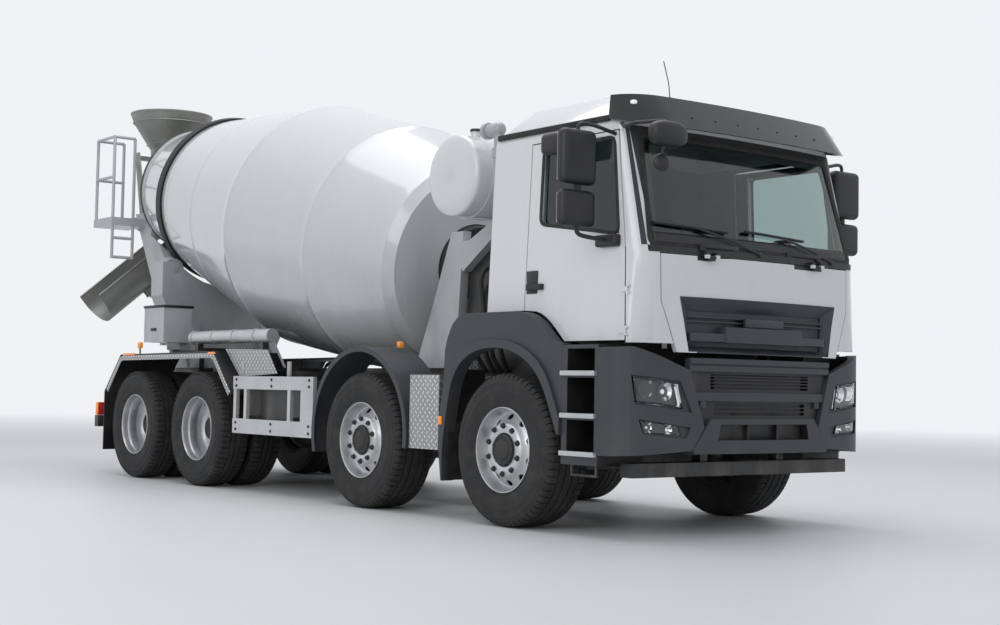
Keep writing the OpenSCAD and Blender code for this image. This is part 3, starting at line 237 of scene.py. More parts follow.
def checkerPlate(pitch=0.042):
    # Aluminium tread plate. Lozenges lie by turns along two diagonals: with u, v the place along
    # the diagonals in steps of the pitch, each cell holds the ellipse (long/0.44)^2 + (short/0.16)^2 < 1.
    def recipe(bench):
        x, y, z = bench.axes()
        u = (x + y * 0.35 + z) / (pitch * 1.414)
        v = (x + y * 0.35 - z) / (pitch * 1.414)
        parity = bench.maths("FLOORED_MODULO", bench.maths("FLOOR", u) + bench.maths("FLOOR", v), 2.0)
        du = abs(bench.maths("FRACT", u) - 0.5)
        dv = abs(bench.maths("FRACT", v) - 0.5)
        along = du * parity + dv * (1 - parity)
        across = dv * parity + du * (1 - parity)
        lozenge = bench.step(1 - (along / 0.44) ** 2 - (across / 0.16) ** 2, 0.0, 0.5)
        worn = bench.noise(7.0, 5)
        sheet = bench.blend(worn, (0.30, 0.305, 0.31, 1), (0.44, 0.44, 0.44, 1))
        return {"Base Color": bench.blend(lozenge, sheet, (0.80, 0.80, 0.80, 1)),
                "Metallic": 0.75, "Roughness": worn * 0.25 + 0.30 - lozenge * 0.08,
                "Normal": bench.bump(lozenge, 0.0016)}
    return recipe


def glassSheet(colour, roughness=0.02):
    # Tinted glass with faint smears
    def recipe(bench):
        smear = bench.noise(2.5, 5)
        return {"Base Color": opaque(colour), "Transmission Weight": 1.0, "IOR": 1.45,
                "Roughness": bench.step(smear, 0.5, 0.9) * 0.04 + roughness}
    return recipe


def silvered(colour, roughness=0.04):
    # Mirror or reflector: bright metal with faint wiped smears
    def recipe(bench):
        smear = bench.noise(8.0, 5)
        return {"Base Color": opaque(colour), "Metallic": 1.0,
                "Roughness": bench.step(smear, 0.45, 0.9) * 0.08 + roughness}
    return recipe


def lampLens(colour, glow):
    # A moulded lens with upright flutes
    def recipe(bench):
        x, y = bench.axes()[:2]
        flutes = bench.maths("SINE", (x + y) * 700.0)
        return {"Base Color": opaque(colour), "Roughness": 0.12, "Coat Weight": 0.6,
                "Emission Color": opaque(colour), "Emission Strength": glow,
                "Normal": bench.bump(flutes, 0.0004)}
    return recipe


def cloth(colour, threads=1800.0):
    # Woven seat cover: two crossed sines for the threads, paler where it is worn
    def recipe(bench):
        x, y, z = bench.axes()
        weave = bench.maths("SINE", (y + x * 0.2) * threads) * bench.maths("SINE", (z + x * 0.6) * threads)
        wear = bench.noise(6.0, 4)
        return {"Base Color": bench.blend(wear, opaque([c * 0.7 for c in colour]), opaque(colour)),
                "Roughness": 0.92, "Sheen Weight": 0.2, "Normal": bench.bump(weave, 0.0004)}
    return recipe


finishes = {
    "cabPaint": paint((0.76, 0.77, 0.78), 0.16, 0.8, 0.12),
    "drumPaint": paint((0.66, 0.67, 0.68), 0.17, 0.75, 0.35),
    "tankPaint": paint((0.74, 0.75, 0.76), 0.17, 0.75, 0.2),
    "framePaint": paint((0.020, 0.020, 0.022), 0.38, 0.1, 0.7),
    "standPaint": paint((0.50, 0.52, 0.53), 0.30, 0.3, 0.7),
    "pipePaint": paint((0.42, 0.43, 0.44), 0.28, 0.4, 0.4),
    "slatePlastic": plastic((0.040, 0.045, 0.053)),
    "blackPlastic": plastic((0.012, 0.012, 0.014), 0.40),
    "visorPlastic": plastic((0.018, 0.019, 0.022), 0.10, 0.0, 5.0, 0.06),
    "sheetSteel": bareMetal((0.34, 0.345, 0.32), 0.34, 0.45),
    "railAluminium": bareMetal((0.66, 0.67, 0.68), 0.32, 0.6, (0.1, 1, 1), (0.3, 0.3, 0.3), 0.2),
    "rimSilver": bareMetal((0.66, 0.67, 0.69), 0.26, 0.75, (1, 1, 1), (0.2, 0.19, 0.17), 0.25),
    "castIron": bareMetal((0.06, 0.06, 0.062), 0.55, 0.4, (1, 1, 1), (0.05, 0.04, 0.032), 0.7),
    "runningSteel": bareMetal((0.035, 0.035, 0.037), 0.38, 0.6, (1, 1, 1), (0.02, 0.02, 0.02), 0.4),
    "treadPlate": checkerPlate(),
    "tyreRubber": rubber((0.020, 0.020, 0.021)),
    "sealRubber": rubber((0.010, 0.010, 0.010), 0.6),
    "screenGlass": glassSheet((0.62, 0.72, 0.70)),
    "doorGlass": glassSheet((0.40, 0.48, 0.48)),
    "coverGlass": glassSheet((0.96, 0.97, 0.98), 0.01),
    "mirrorGlass": silvered((0.80, 0.82, 0.84)),
    "reflector": silvered((0.85, 0.86, 0.87), 0.10),
    "dayLens": lampLens((0.92, 0.94, 0.97), 0.35),
    "amberLens": lampLens((1.0, 0.30, 0.02), 0.20),
    "redLens": lampLens((0.50, 0.01, 0.01), 0.08),
    "seatCloth": cloth((0.05, 0.052, 0.058)),
    "trimPlastic": plastic((0.035, 0.036, 0.040), 0.55, 0.0002, 500.0, 0.0),
}
materials = {name: makeMaterial(name, recipe) for name, recipe in finishes.items()}
print("materials made:", len(materials))


def makeCamera():
    # The camera fitted to the photo: it looks ahead along its yaw and pitch and leans by its roll
    yaw, pitch, roll = (math.radians(view[key]) for key in ("yaw", "pitch", "roll"))
    ahead = Vector((-math.sin(yaw) * math.cos(pitch), math.cos(yaw) * math.cos(pitch), math.sin(pitch)))
    level = ahead.cross(Vector((0, 0, 1))).normalized()
    raised = level.cross(ahead)
    right = level * math.cos(roll) + raised * math.sin(roll)
    up = raised * math.cos(roll) - level * math.sin(roll)
    data = bpy.data.cameras.new("camera")
    data.sensor_width = view["sensor"]
    data.lens = view["focalPixels"] / view["photoWidth"] * view["sensor"]
    data.clip_end = view["reach"]
    camera = bpy.data.objects.new("camera", data)
    camera.matrix_world = (Matrix.Translation((fa(view["place"][0]), *view["place"][1:]))
                           @ Matrix((right, up, -ahead)).transposed().to_4x4())
    bpy.context.scene.collection.objects.link(camera)
    bpy.context.scene.camera = camera


def shownRays(bench):
    # 1 for what the camera sees, also in gloss and through glass
    camera, gloss, through = (bench.add("ShaderNodeLightPath", out=ray)
                              for ray in ("Is Camera Ray", "Is Glossy Ray", "Is Transmission Ray"))
    return bench.maths("MAXIMUM", camera, bench.maths("MAXIMUM", gloss, through))


def floorMaterial():
    # The floor keeps the shadow near the truck and fades into the backdrop with the distance from it
    material = bpy.data.materials.new("floor")
    material.use_nodes = True
    bench = Bench(material.node_tree)
    x, y = bench.axes()[:2]
    distance = ((x + -studio["fadeMiddle"]) ** 2 + y ** 2) ** 0.5
    colour, darker = opaque(studio["floorColour"]), opaque([c * 0.96 for c in studio["floorColour"]])
    near = bench.add("ShaderNodeBsdfPrincipled", {}, {
        "Base Color": bench.blend(bench.noise(0.8, 5), colour, darker), "Roughness": 0.5})
    far = bench.add("ShaderNodeEmission", {}, {"Color": studio["backdrop"], "Strength": 1.0})
    share = bench.step(distance, studio["fadeFrom"], studio["fadeTo"]) * shownRays(bench)
    mixed = bench.add("ShaderNodeMixShader", {}, {0: share, 1: near, 2: far})
    bench.add("ShaderNodeOutputMaterial", {}, {"Surface": mixed})
    return material


def makeStudio():
    # Plain backdrop for the camera, a soft sky for the light, two lamps and the floor
    world = bpy.data.worlds.new("studio")
    world.use_nodes = True
    scene = bpy.context.scene
    scene.world = world
    bench = Bench(world.node_tree)
    direction = bench.add("ShaderNodeTexCoord", out=0)
    height = bench.add("ShaderNodeSeparateXYZ", {}, {0: direction}, 2)
    sky = bench.add("ShaderNodeValToRGB", {"stops": [
        (0.0, studio["ground"]), (studio["groundEnd"], studio["ground"]),
        (studio["skyStart"], studio["skyLow"]), (studio["skyTopFrom"], studio["skyTop"])]},
        {"Fac": height * 0.5 + 0.5})
    lit = bench.add("ShaderNodeBackground", {}, {"Color": sky, "Strength": studio["skyStrength"]})
    plain = bench.add("ShaderNodeBackground", {}, {"Color": studio["backdrop"], "Strength": 1.0})
    mixed = bench.add("ShaderNodeMixShader", {}, {0: shownRays(bench), 1: lit, 2: plain})
    bench.add("ShaderNodeOutputWorld", {}, {"Surface": mixed})
    for name, values in lamps.items():
        lamp = bpy.data.lights.new(name, "AREA")
        lamp.energy = values["power"]
        lamp.size = values["size"]
        holder = bpy.data.objects.new(name, lamp)
        spot, aim = ((fa(place[0]), *place[1:]) for place in (values["spot"], values["aim"]))
        holder.location = spot
        holder.rotation_euler = (Vector(aim) - Vector(spot)).to_track_quat("-Z", "Y").to_euler()
        scene.collection.objects.link(holder)
    half = studio["floorHalf"]
    corners = [(-half, -half, 0), (half, -half, 0), (half, half, 0), (-half, half, 0)]
    mesh = bpy.data.meshes.new("floor")
    mesh.from_pydata(corners, [], [(0, 1, 2, 3)])
    mesh.materials.append(floorMaterial())
    floor = bpy.data.objects.new("floor", mesh)
    scene.collection.objects.link(floor)
    scene.view_settings.view_transform = "Standard"


makeCamera()
makeStudio()
print("camera and studio set")


# Shapes. A shape is a pair: points (n, 3), and blocks of faces, each an array of index rows.
def gridShape(points, aroundU=False, aroundV=False, caps=False):
    # Quads between the neighbours of a grid points[u, v], with caps on its first and last rows
    rows, columns = points.shape[:2]
    index = np.arange(rows * columns).reshape(rows, columns)
    ends = [index[:1, ::-1], index[-1:]] if caps else []
    if aroundU:
        index = np.vstack([index, index[:1]])
    if aroundV:
        index = np.hstack([index, index[:, :1]])
    quads = np.stack([index[:-1, :-1], index[1:, :-1], index[1:, 1:], index[:-1, 1:]], -1).reshape(-1, 4)
    return points.reshape(-1, 3), [quads] + ends


def joined(*shapes):
    # Several shapes as one
    starts = np.cumsum([0] + [len(points) for points, faces in shapes])
    return (np.vstack([points for points, faces in shapes]),
            [block + start for (points, faces), start in zip(shapes, starts) for block in faces])


def copies(shape, placed):
    # placed holds the shape's points once for each copy: (copies, points, 3)
    shift = (np.arange(len(placed)) * len(shape[0]))[:, None, None]
    return placed.reshape(-1, 3), [(block[None] + shift).reshape(-1, block.shape[1]) for block in shape[1]]


def scattered(shape, places):
    # A copy of the shape at each place
    return copies(shape, shape[0][None] + np.array(places, float)[:, None])


def around(shape, count):
    # Copies turned evenly about the Y axis: x' = x cos a + z sin a, z' = z cos a - x sin a
    turn = (2 * math.pi * np.arange(count) / count)[:, None]
    x, y, z = shape[0].T
    return copies(shape, np.stack([x * np.cos(turn) + z * np.sin(turn), y + 0 * turn,
                                   z * np.cos(turn) - x * np.sin(turn)], -1))


def moved(shape, place):
    # The shape carried from the origin to a place
    return shape[0] + np.array(place, float), shape[1]


def mirrored(shape):
    return shape[0] * (1, -1, 1), [block[:, ::-1] for block in shape[1]]


def bothSides(*shapes):
    # The shapes of the left side with their mirror images
    whole = joined(*shapes)
    return joined(whole, mirrored(whole))


def aimed(shape, direction, place=(0, 0, 0)):
    # Turns the shape's Y axis to a direction and carries its origin to a place
    forward = np.array(direction, float) / np.linalg.norm(direction)
    aside = np.cross(forward, (0, 0, 1) if abs(forward[2]) < 0.9 else (1, 0, 0))
    aside /= np.linalg.norm(aside)
    basis = np.stack([aside, forward, np.cross(aside, forward)])
    return shape[0] @ basis + np.array(place, float), shape[1]


def turned(radius, along, turn, closed=False):
    # point(a, v) = (r sin a, along, r cos a), where r and along may change with both
    points = np.stack([radius * np.sin(turn), along + 0 * turn, radius * np.cos(turn)], -1)
    return gridShape(points, True, closed)


def revolved(profile, count):
    # A profile of (along, radius) turned about the Y axis
    along, radius = np.array(profile, float).T
    return turned(radius, along, 2 * math.pi * np.arange(count)[:, None] / count)


def circle(radius, sides):
    # point = radius (cos a, sin a)
    turn = 2 * math.pi * np.arange(sides) / sides
    return np.stack([radius * np.cos(turn), radius * np.sin(turn)], -1)


def rounded(width, height, radius, steps=3):
    # Outline of a rectangle with quarter circles: point = corner shrunk by the radius + radius (cos a, sin a)
    turn = np.radians(np.arange(4)[:, None] * 90 + np.linspace(0, 90, steps + 1)).ravel()
    sides = np.repeat([[1, 1], [-1, 1], [-1, -1], [1, -1]], steps + 1, axis=0)
    arcs = radius * np.stack([np.cos(turn), np.sin(turn)], -1)
    return sides * (width / 2 - radius, height / 2 - radius) + arcs


def curvedPath(corners, radius, steps=5, closed=False):
    # Each corner c gives way to (1-t)^2 a + 2t(1-t) c + t^2 b, with a and b a radius away along its sides
    corners = np.array(corners, float)
    before, middle, after = ((np.roll(corners, 1, 0), corners, np.roll(corners, -1, 0)) if closed
                             else (corners[:-2], corners[1:-1], corners[2:]))

    def reached(ends):
        side = ends - middle
        length = np.linalg.norm(side, axis=1, keepdims=True)
        return middle + side / length * np.minimum(radius, length * 0.49)
    t = np.linspace(0, 1, steps)[None, :, None]
    bends = ((1 - t) ** 2 * reached(before)[:, None] + 2 * t * (1 - t) * middle[:, None]
             + t ** 2 * reached(after)[:, None]).reshape(-1, corners.shape[1])
    return bends if closed else np.vstack([corners[:1], bends, corners[-1:]])


def evenPath(path, spacing, closed=False):
    # The path read again at even steps of its length
    path = np.vstack([path, path[:1]]) if closed else np.array(path, float)
    length = np.concatenate([[0], np.cumsum(np.linalg.norm(np.diff(path, axis=0), axis=1))])
    count = max(2, int(length[-1] / spacing) + 1)
    spots = np.linspace(0, length[-1], count + 1)[:-1] if closed else np.linspace(0, length[-1], count)
    return np.stack([np.interp(spots, length, path[:, k]) for k in range(path.shape[1])], -1)


def carried(path, profile, closed=False, steady=None):
    # point(u, v) = path(u) + side(u) profile(v)[0] + up(u) profile(v)[1]; side is square to path and steady
    path = np.array(path, float)
    tangent = np.roll(path, -1, 0) - np.roll(path, 1, 0) if closed else np.gradient(path, axis=0)
    tangent = tangent / np.linalg.norm(tangent, axis=1, keepdims=True)
    if steady is None:
        steady = np.eye(3)[np.argmin(np.abs(tangent).max(0))]
    side = np.cross(tangent, steady)
    side = side / np.linalg.norm(side, axis=1, keepdims=True)
    up = np.cross(side, tangent)
    grid = path[:, None] + side[:, None] * profile[None, :, :1] + up[:, None] * profile[None, :, 1:]
    return gridShape(grid, closed, True, not closed)


def tube(corners, radius, bend):
    # A round bar along a path with curved bends
    return carried(curvedPath(corners, bend), circle(radius, 10))


def plate(outline, axis, start, end):
    # The outline lies square to the axis (0, 1 or 2) and is given in the two other axes, in their order
    outline = np.array(outline, float)
    grid = np.empty((2, len(outline), 3))
    grid[..., [k for k in range(3) if k != axis]] = outline
    grid[..., axis] = [[start], [end]]
    return gridShape(grid, aroundV=True, caps=True)


def block(low, high, radius=0.004, steps=2):
    # point = corner of the box shrunk by the radius + radius * direction(turn, rise)
    low, high = np.array(low, float), np.array(high, float)
    radius = min(radius, (high - low).min() / 2)
    turn = np.radians(np.arange(4)[:, None] * 90 + np.linspace(0, 90, steps + 1)).ravel()
    lower, upper = np.linspace(-90, 0, steps + 1), np.linspace(0, 90, steps + 1)
    rise = np.radians(np.concatenate([lower, upper]))[:, None]
    level = np.cos(rise)
    direction = np.stack([level * np.cos(turn), level * np.sin(turn), np.sin(rise) + 0 * turn], -1)
    sides = np.empty_like(direction)
    sides[..., :2] = np.repeat([[1, 1], [-1, 1], [-1, -1], [1, -1]], steps + 1, axis=0)
    sides[..., 2] = np.repeat([-1, 1], steps + 1)[:, None]
    corners = (low + high) / 2 + sides * ((high - low) / 2 - radius)
    return gridShape(corners + radius * direction, aroundV=True, caps=True)


def bolt(radius, height):
    # Hexagon head along Y on a round washer
    wide, low = radius * 1.3, height * 0.2
    head = [(0, 0), (0, radius), (height * 0.8, radius), (height, radius * 0.8), (height, 0)]
    washer = [(-0.001, 0), (-0.001, wide), (low, wide), (low, 0)]
    return joined(revolved(head, 6), revolved(washer, 12))


# Pieces
def dress(mesh, material, sharp, zones):
    # Smooth faces with sharp edges, and other finishes on the faces that a zone's test picks by their middles
    mesh.shade_smooth()
    mesh.set_sharp_from_angle(angle=math.radians(sharp))
    mesh.materials.clear()
    mesh.materials.append(materials[material])
    middles = np.empty(len(mesh.polygons) * 3)
    mesh.polygons.foreach_get("center", middles)
    middles = middles.reshape(-1, 3) - (firstAxle, 0, 0)
    numbers = np.zeros(len(mesh.polygons), int)
    for number, (finish, test) in enumerate(zones, 1):
        mesh.materials.append(materials[finish])
        numbers[test(*middles.T)] = number
    mesh.polygons.foreach_set("material_index", numbers)


def putPiece(name, mesh, body, edge, thickness=0.0, angle=33.0):
    # An object that rides on a body, with walls and rounded edges where asked
    piece = bpy.data.objects.new(name, mesh)
    bpy.context.scene.collection.objects.link(piece)
    if thickness:
        wall = piece.modifiers.new("wall", "SOLIDIFY")
        wall.thickness = thickness
        wall.offset = 0.0
    if edge:
        bevel = piece.modifiers.new("edges", "BEVEL")
        bevel.width = edge
        bevel.segments = 2
        bevel.limit_method = "ANGLE"
        bevel.angle_limit = math.radians(angle)
        bevel.harden_normals = True
        bevel.use_clamp_overlap = True
    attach(piece, body)
    return piece


def bodyOf(node):
    return frame["nodes"][node]["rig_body"]


def addPiece(name, shape, material, node, edge=0.0, thickness=0.0, sharp=35.0, zones=(), stands=False):
    # The node gives the body that the piece rides on. A piece that stands replaces the node.
    points, faces = shape
    mesh = bpy.data.meshes.new(name)
    corners = [corner for rows in faces for corner in rows.tolist()]
    mesh.from_pydata((points + (firstAxle, 0, 0)).tolist(), [], corners)
    form = bmesh.new()
    form.from_mesh(mesh)
    bmesh.ops.remove_doubles(form, verts=form.verts, dist=meshing["merge"])
    bmesh.ops.dissolve_degenerate(form, edges=form.edges, dist=meshing["sliver"])
    bmesh.ops.recalc_face_normals(form, faces=form.faces)
    form.to_mesh(mesh)
    form.free()
    dress(mesh, material, sharp, zones)
    piece = putPiece(name, mesh, bodyOf(node), edge, thickness)
    if stands:
        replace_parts(piece, node)


def soften(node, material, edge, zones, cuts, angle=33.0):
    # A merged copy of the node stands for it, with its flat faces joined and its edges rounded. Its faces are
    # parted at the heights in cuts, so that a zone can end there.
    form = bmesh.new()
    form.from_mesh(frame["nodes"][node].data)
    bmesh.ops.remove_doubles(form, verts=form.verts, dist=meshing["merge"])
    bmesh.ops.dissolve_limit(form, angle_limit=math.radians(meshing["flatAngle"]), verts=form.verts,
                             edges=form.edges)
    for height in cuts:
        everything = form.verts[:] + form.edges[:] + form.faces[:]
        bmesh.ops.bisect_plane(form, geom=everything, plane_co=(0, 0, height), plane_no=(0, 0, 1))
    mesh = bpy.data.meshes.new(node + "_finish")
    form.to_mesh(mesh)
    form.free()
    dress(mesh, material, angle, zones)
    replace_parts(putPiece(node + "_finish", mesh, bodyOf(node), edge, angle=angle), node)


sides = (("right", -1), ("left", 1))

# Finishes of the frame's nodes
slope = math.radians(12.2)  # of the drum's axis
drumSeat = 1.573  # height of the drum's axis over the first axle
cab = {"half": 1.125, "lean": 0.065, "foot": 1.29, "rise": 1.43}
cowl = {"from": 1.0, "half": 1.012, "heights": (1.8675, 1.9105)}
flap = {"cuts": (1.2262, 1.5864, 1.8290), "grille": (1.20, 1.5863), "grilleHalf": 0.703,
        "grilleSpread": 0.073, "grilleFoot": 1.226, "grilleRise": 0.359, "handleMiddle": 0.53,
        "handleHalf": 0.07}
washPipe = {"ends": (-4.995, -3.465), "side": 1.10, "height": 1.395, "reach": 0.0715}


def alongDrum(x, y, z):
    # With h = z - seat: place along the drum's axis = h sin(slope) - x cos(slope),
    # and distance from it = length of (y, x sin(slope) + h cos(slope))
    s = -x * math.cos(slope) + (z - drumSeat) * math.sin(slope)
    return s, np.hypot(y, x * math.sin(slope) + (z - drumSeat) * math.cos(slope))


def sideY(z):
    # Half width of the cab = half - lean (z - foot) / rise
    return cab["half"] - cab["lean"] * (z - cab["foot"]) / cab["rise"]


def within(xs=(None, None), wide=(None, None), zs=(None, None), deeper=None, nearer=None):
    # A test of faces by their middles: x, |y| and z lie between bounds, and the face lies deeper below the
    # cab's side than one measure, or nearer to it than another
    def test(x, y, z):
        picked = np.ones(len(x), bool)
        for value, (low, high) in ((x, xs), (np.abs(y), wide), (z, zs)):
            if low is not None:
                picked &= value > low
            if high is not None:
                picked &= value < high
        if deeper is not None:
            picked &= np.abs(y) < sideY(z) - deeper
        if nearer is not None:
            picked &= np.abs(y) > sideY(z) - nearer
        return picked
    return test


def onGrille(x, y, z):
    # The grille widens with the height: |y| < half + spread (z - foot) / rise
    low, high = flap["grille"]
    half = flap["grilleHalf"] + flap["grilleSpread"] * (z - flap["grilleFoot"]) / flap["grilleRise"]
    return (z > low) & (z < high) & (np.abs(y) < half)


def onFlapHandles(x, y, z):
    return (z > flap["cuts"][2]) & (np.abs(np.abs(y) - flap["handleMiddle"]) < flap["handleHalf"])


def onWashPipe(x, y, z):
    # Nearer to the pipe's axis than its reach, between its ends
    low, high = washPipe["ends"]
    away = np.hypot(np.abs(y) - washPipe["side"], z - washPipe["height"])
    return (x > low) & (x < high) & (away < washPipe["reach"])


doorZones = [("trimPlastic", within(zs=(None, 2.0), deeper=0.030)),
             ("blackPlastic", within((0.10, 0.28), zs=(1.645, 1.695), nearer=0.012))]
nodeZones = {
    "cab_shell": [("trimPlastic", within((-0.30, 1.12), zs=(1.30, 2.72), deeper=0.045)),
                  ("blackPlastic", within((cowl["from"], None), (None, cowl["half"]), cowl["heights"])),
                  ("framePaint", within(wide=(None, 0.49), zs=(None, 1.285)))],
    "door_right": doorZones, "door_left": doorZones,
    "front_flap": [("slatePlastic", onGrille), ("blackPlastic", onFlapHandles)],
    "bumper": [("blackPlastic", within((None, 1.285), (None, 0.5)))],
    "steps": [("railAluminium", within(wide=(1.2125, None))), ("framePaint", within(zs=(None, 0.469))),
              ("blackPlastic", within(wide=(0.9, 1.189)))],
    "side_boxes": [("treadPlate", within((-1.2, None), (0.699, None)))],
    "control_box": [("standPaint", within((None, -5.43))), ("rimSilver", onWashPipe)],
    "side_guards": [("framePaint", within(wide=(None, 1.189)))],
    "cab_interior": [("seatCloth", within((None, 0.62), (0.40, None), (1.68, None)))],
}
nodeFinish = {
    "cab_shell": "cabPaint", "cab_roof": "cabPaint", "door_right": "cabPaint", "door_left": "cabPaint",
    "front_flap": "cabPaint", "water_tank": "tankPaint", "sun_visor": "visorPlastic",
    "bumper": "slatePlastic", "steps": "slatePlastic", "fender_axle_2": "slatePlastic",
    "rear_mudguards": "blackPlastic",
    "side_boxes": "framePaint", "control_box": "framePaint", "side_guards": "railAluminium",
    "air_intake": "pipePaint", "cab_interior": "trimPlastic", "rear_pedestal": "standPaint",
    "front_pedestal": "standPaint", "platform": "standPaint", "chute_arm": "standPaint",
    "roller_right": "standPaint", "roller_left": "standPaint", "chassis_frame": "framePaint",
    "mixer_frame": "framePaint", "steer_axle_beams": "framePaint", "drive_axles": "framePaint",
    "underrun_bar": "framePaint", "drum_drive": "framePaint", "jack_tube": "framePaint",
    "leaf_springs": "castIron", "prop_shafts": "castIron", "engine": "castIron", "drum_track": "runningSteel",
    "jack_rod": "rimSilver", "feed_hopper": "sheetSteel", "collector": "sheetSteel", "chute": "sheetSteel",
    "drum_blades": "sheetSteel", "windscreen": "screenGlass", "glass_right": "doorGlass",
    "glass_left": "doorGlass",
}
nodeFinish.update({f"knuckle_{number}_{side}": "castIron" for number in (1, 2) for side, sign in sides})
unbevelled = {"screenGlass", "doorGlass", "sheetSteel", "runningSteel"}
edgeRadius = {"bumper": 0.006, "sun_visor": 0.012, "others": 0.003}
cuts = {"front_flap": flap["cuts"], "cab_shell": cowl["heights"]}
for node, finish in nodeFinish.items():
    edge = 0.0 if finish in unbevelled else edgeRadius.get(node, edgeRadius["others"])
    soften(node, finish, edge, nodeZones.get(node, ()), cuts.get(node, ()))
print("frame nodes finished:", len(nodeFinish))

# Wheels. Built with the wheel's middle at the origin and +Y outward, then carried to each hub.
hubs = {number: joints[f"wheel_{number}_right_spin"]["pos_m"] for number in (1, 2, 3, 4)}
tyre = {"radius": 0.536, "crownDrop": 0.004, "bulge": 0.030, "bulgeMiddle": 0.415, "bulgeReach": 0.125,
        "bulgePower": 2.2, "pitches": 64, "phases": (0.0, 0.03, 0.20, 0.23), "slot": (0, 1, 1, 0),
        "slotDepth": 0.011, "slotSlope": 0.004, "slotFoot": 0.51, "zigzag": (-1, -1, 1, 1),
        "zigzagReach": 0.0045, "grooveDepth": 0.013, "grooveHalf": 0.0062, "grooveFloor": 0.7,
        "wallRadii": (0.290, 0.297, 0.303, 0.306, 0.309, 0.325, 0.350, 0.380, 0.410, 0.414, 0.418, 0.445,
                      0.468, 0.471, 0.474, 0.490, 0.500),
        "ribs": {3: 0.0020, 9: 0.0012, 13: 0.0016},  # raised wall radii by their number
        "shoulder": ((0.027, 0.513), (0.017, 0.5240), (0.007, 0.5300))}  # beyond the crown's edge, radius
steerTyre = {"outward": 1.061, "side": 0.189, "edge": 0.143, "grooves": (-0.092, -0.034, 0.034, 0.092),
             "slotFrom": 0.108}
twinTyre = {"outward": 1.10, "side": 0.150, "edge": 0.114, "grooves": (-0.052, 0.0, 0.052), "slotFrom": 0.068,
            "spacing": 0.345}
handHole = {"count": 10, "radialHalf": 0.0205, "acrossHalf": 0.0280}
hubParts = {"nut": (0.0165, 0.020), "nuts": 10, "nutCircle": 0.1675, "boltHead": (0.0055, 0.005),
            "brakeGap": 0.022,
            "collar": [(0.017, 0), (0.017, 0.0095), (0.0238, 0.0085), (0.0238, 0)],
            "brake": [(0, 0), (0, 0.196), (-0.010, 0.207), (-0.13, 0.210), (-0.13, 0)]}
# Profiles of the rims hold (along, radius), and hubBolts (seat, radius of the circle, count)
steerRim = {"lip": [(0.140, 0.2965), (0.158, 0.2992), (0.168, 0.3000), (0.1745, 0.2992), (0.177, 0.2965),
                    (0.1765, 0.2930), (0.172, 0.2905), (0.160, 0.2885), (0.146, 0.2870), (0.128, 0.2850),
                    (0.110, 0.2810), (0.096, 0.2750), (0.086, 0.2680), (0.080, 0.2620), (0.078, 0.258)],
            "inner": (0.128, 0.200), "thickness": 0.012,
            "face": [(0.128, 0.200), (0.146, 0.191), (0.157, 0.184), (0.163, 0.176), (0.165, 0.168),
                     (0.165, 0.128), (0.161, 0.119), (0.150, 0.115), (0.138, 0.115), (0.150, 0.125),
                     (0.151, 0.168), (0.140, 0.184), (0.116, 0.200)],
            "barrel": [(0.066, 0.258), (0.060, 0.267), (0.045, 0.272), (-0.100, 0.272), (-0.160, 0.285),
                       (-0.172, 0.297), (-0.160, 0.299), (-0.140, 0.2965), (-0.10, 0.284), (0, 0.280),
                       (0.10, 0.288), (0.140, 0.2965)],
            "nutSeat": 0.1648,
            "hub": [(0.128, 0), (0.128, 0.1145), (0.150, 0.113), (0.174, 0.109), (0.181, 0.103),
                    (0.181, 0.094), (0.176, 0.090), (0.172, 0.086), (0.172, 0.074), (0.178, 0.070),
                    (0.184, 0.062), (0.187, 0.045), (0.188, 0)],
            "hubBolts": [(0.1805, 0.0985, 10)]}
twinRim = {"lip": [(0.100, 0.2965), (0.118, 0.2992), (0.128, 0.3000), (0.1335, 0.2992), (0.136, 0.2965),
                   (0.1355, 0.2930), (0.131, 0.2905), (0.118, 0.2885), (0.098, 0.2865), (0.080, 0.2855),
                   (0.072, 0.2835), (0.066, 0.2790), (0.058, 0.2765), (0.030, 0.2755), (0.006, 0.2750),
                   (-0.004, 0.2770), (-0.012, 0.2775), (-0.022, 0.2745), (-0.045, 0.2690), (-0.065, 0.2610),
                   (-0.080, 0.2510), (-0.088, 0.240)],
           "inner": (-0.106, 0.184), "thickness": 0.012,
           "face": [(-0.106, 0.184), (-0.108, 0.178), (-0.109, 0.170), (-0.109, 0.151), (-0.112, 0.146),
                    (-0.122, 0.143), (-0.128, 0.143), (-0.120, 0.178), (-0.118, 0.184)],
           "barrel": [(-0.100, 0.240), (-0.102, 0.262), (-0.12, 0.272), (-0.44, 0.272), (-0.48, 0.297),
                      (-0.46, 0.2985), (-0.40, 0.284), (0, 0.2835), (0.08, 0.289), (0.100, 0.2965)],
           "nutSeat": -0.1092,
           "hub": [(-0.126, 0), (-0.126, 0.142), (-0.112, 0.134), (-0.075, 0.130), (-0.060, 0.126),
                   (-0.056, 0.118), (-0.056, 0.108), (-0.050, 0.105), (-0.012, 0.103), (-0.004, 0.098),
                   (-0.001, 0.088), (-0.001, 0.060), (-0.006, 0.055), (-0.006, 0)],
           "hubBolts": [(-0.0565, 0.1135, 12), (-0.0015, 0.075, 8)]}


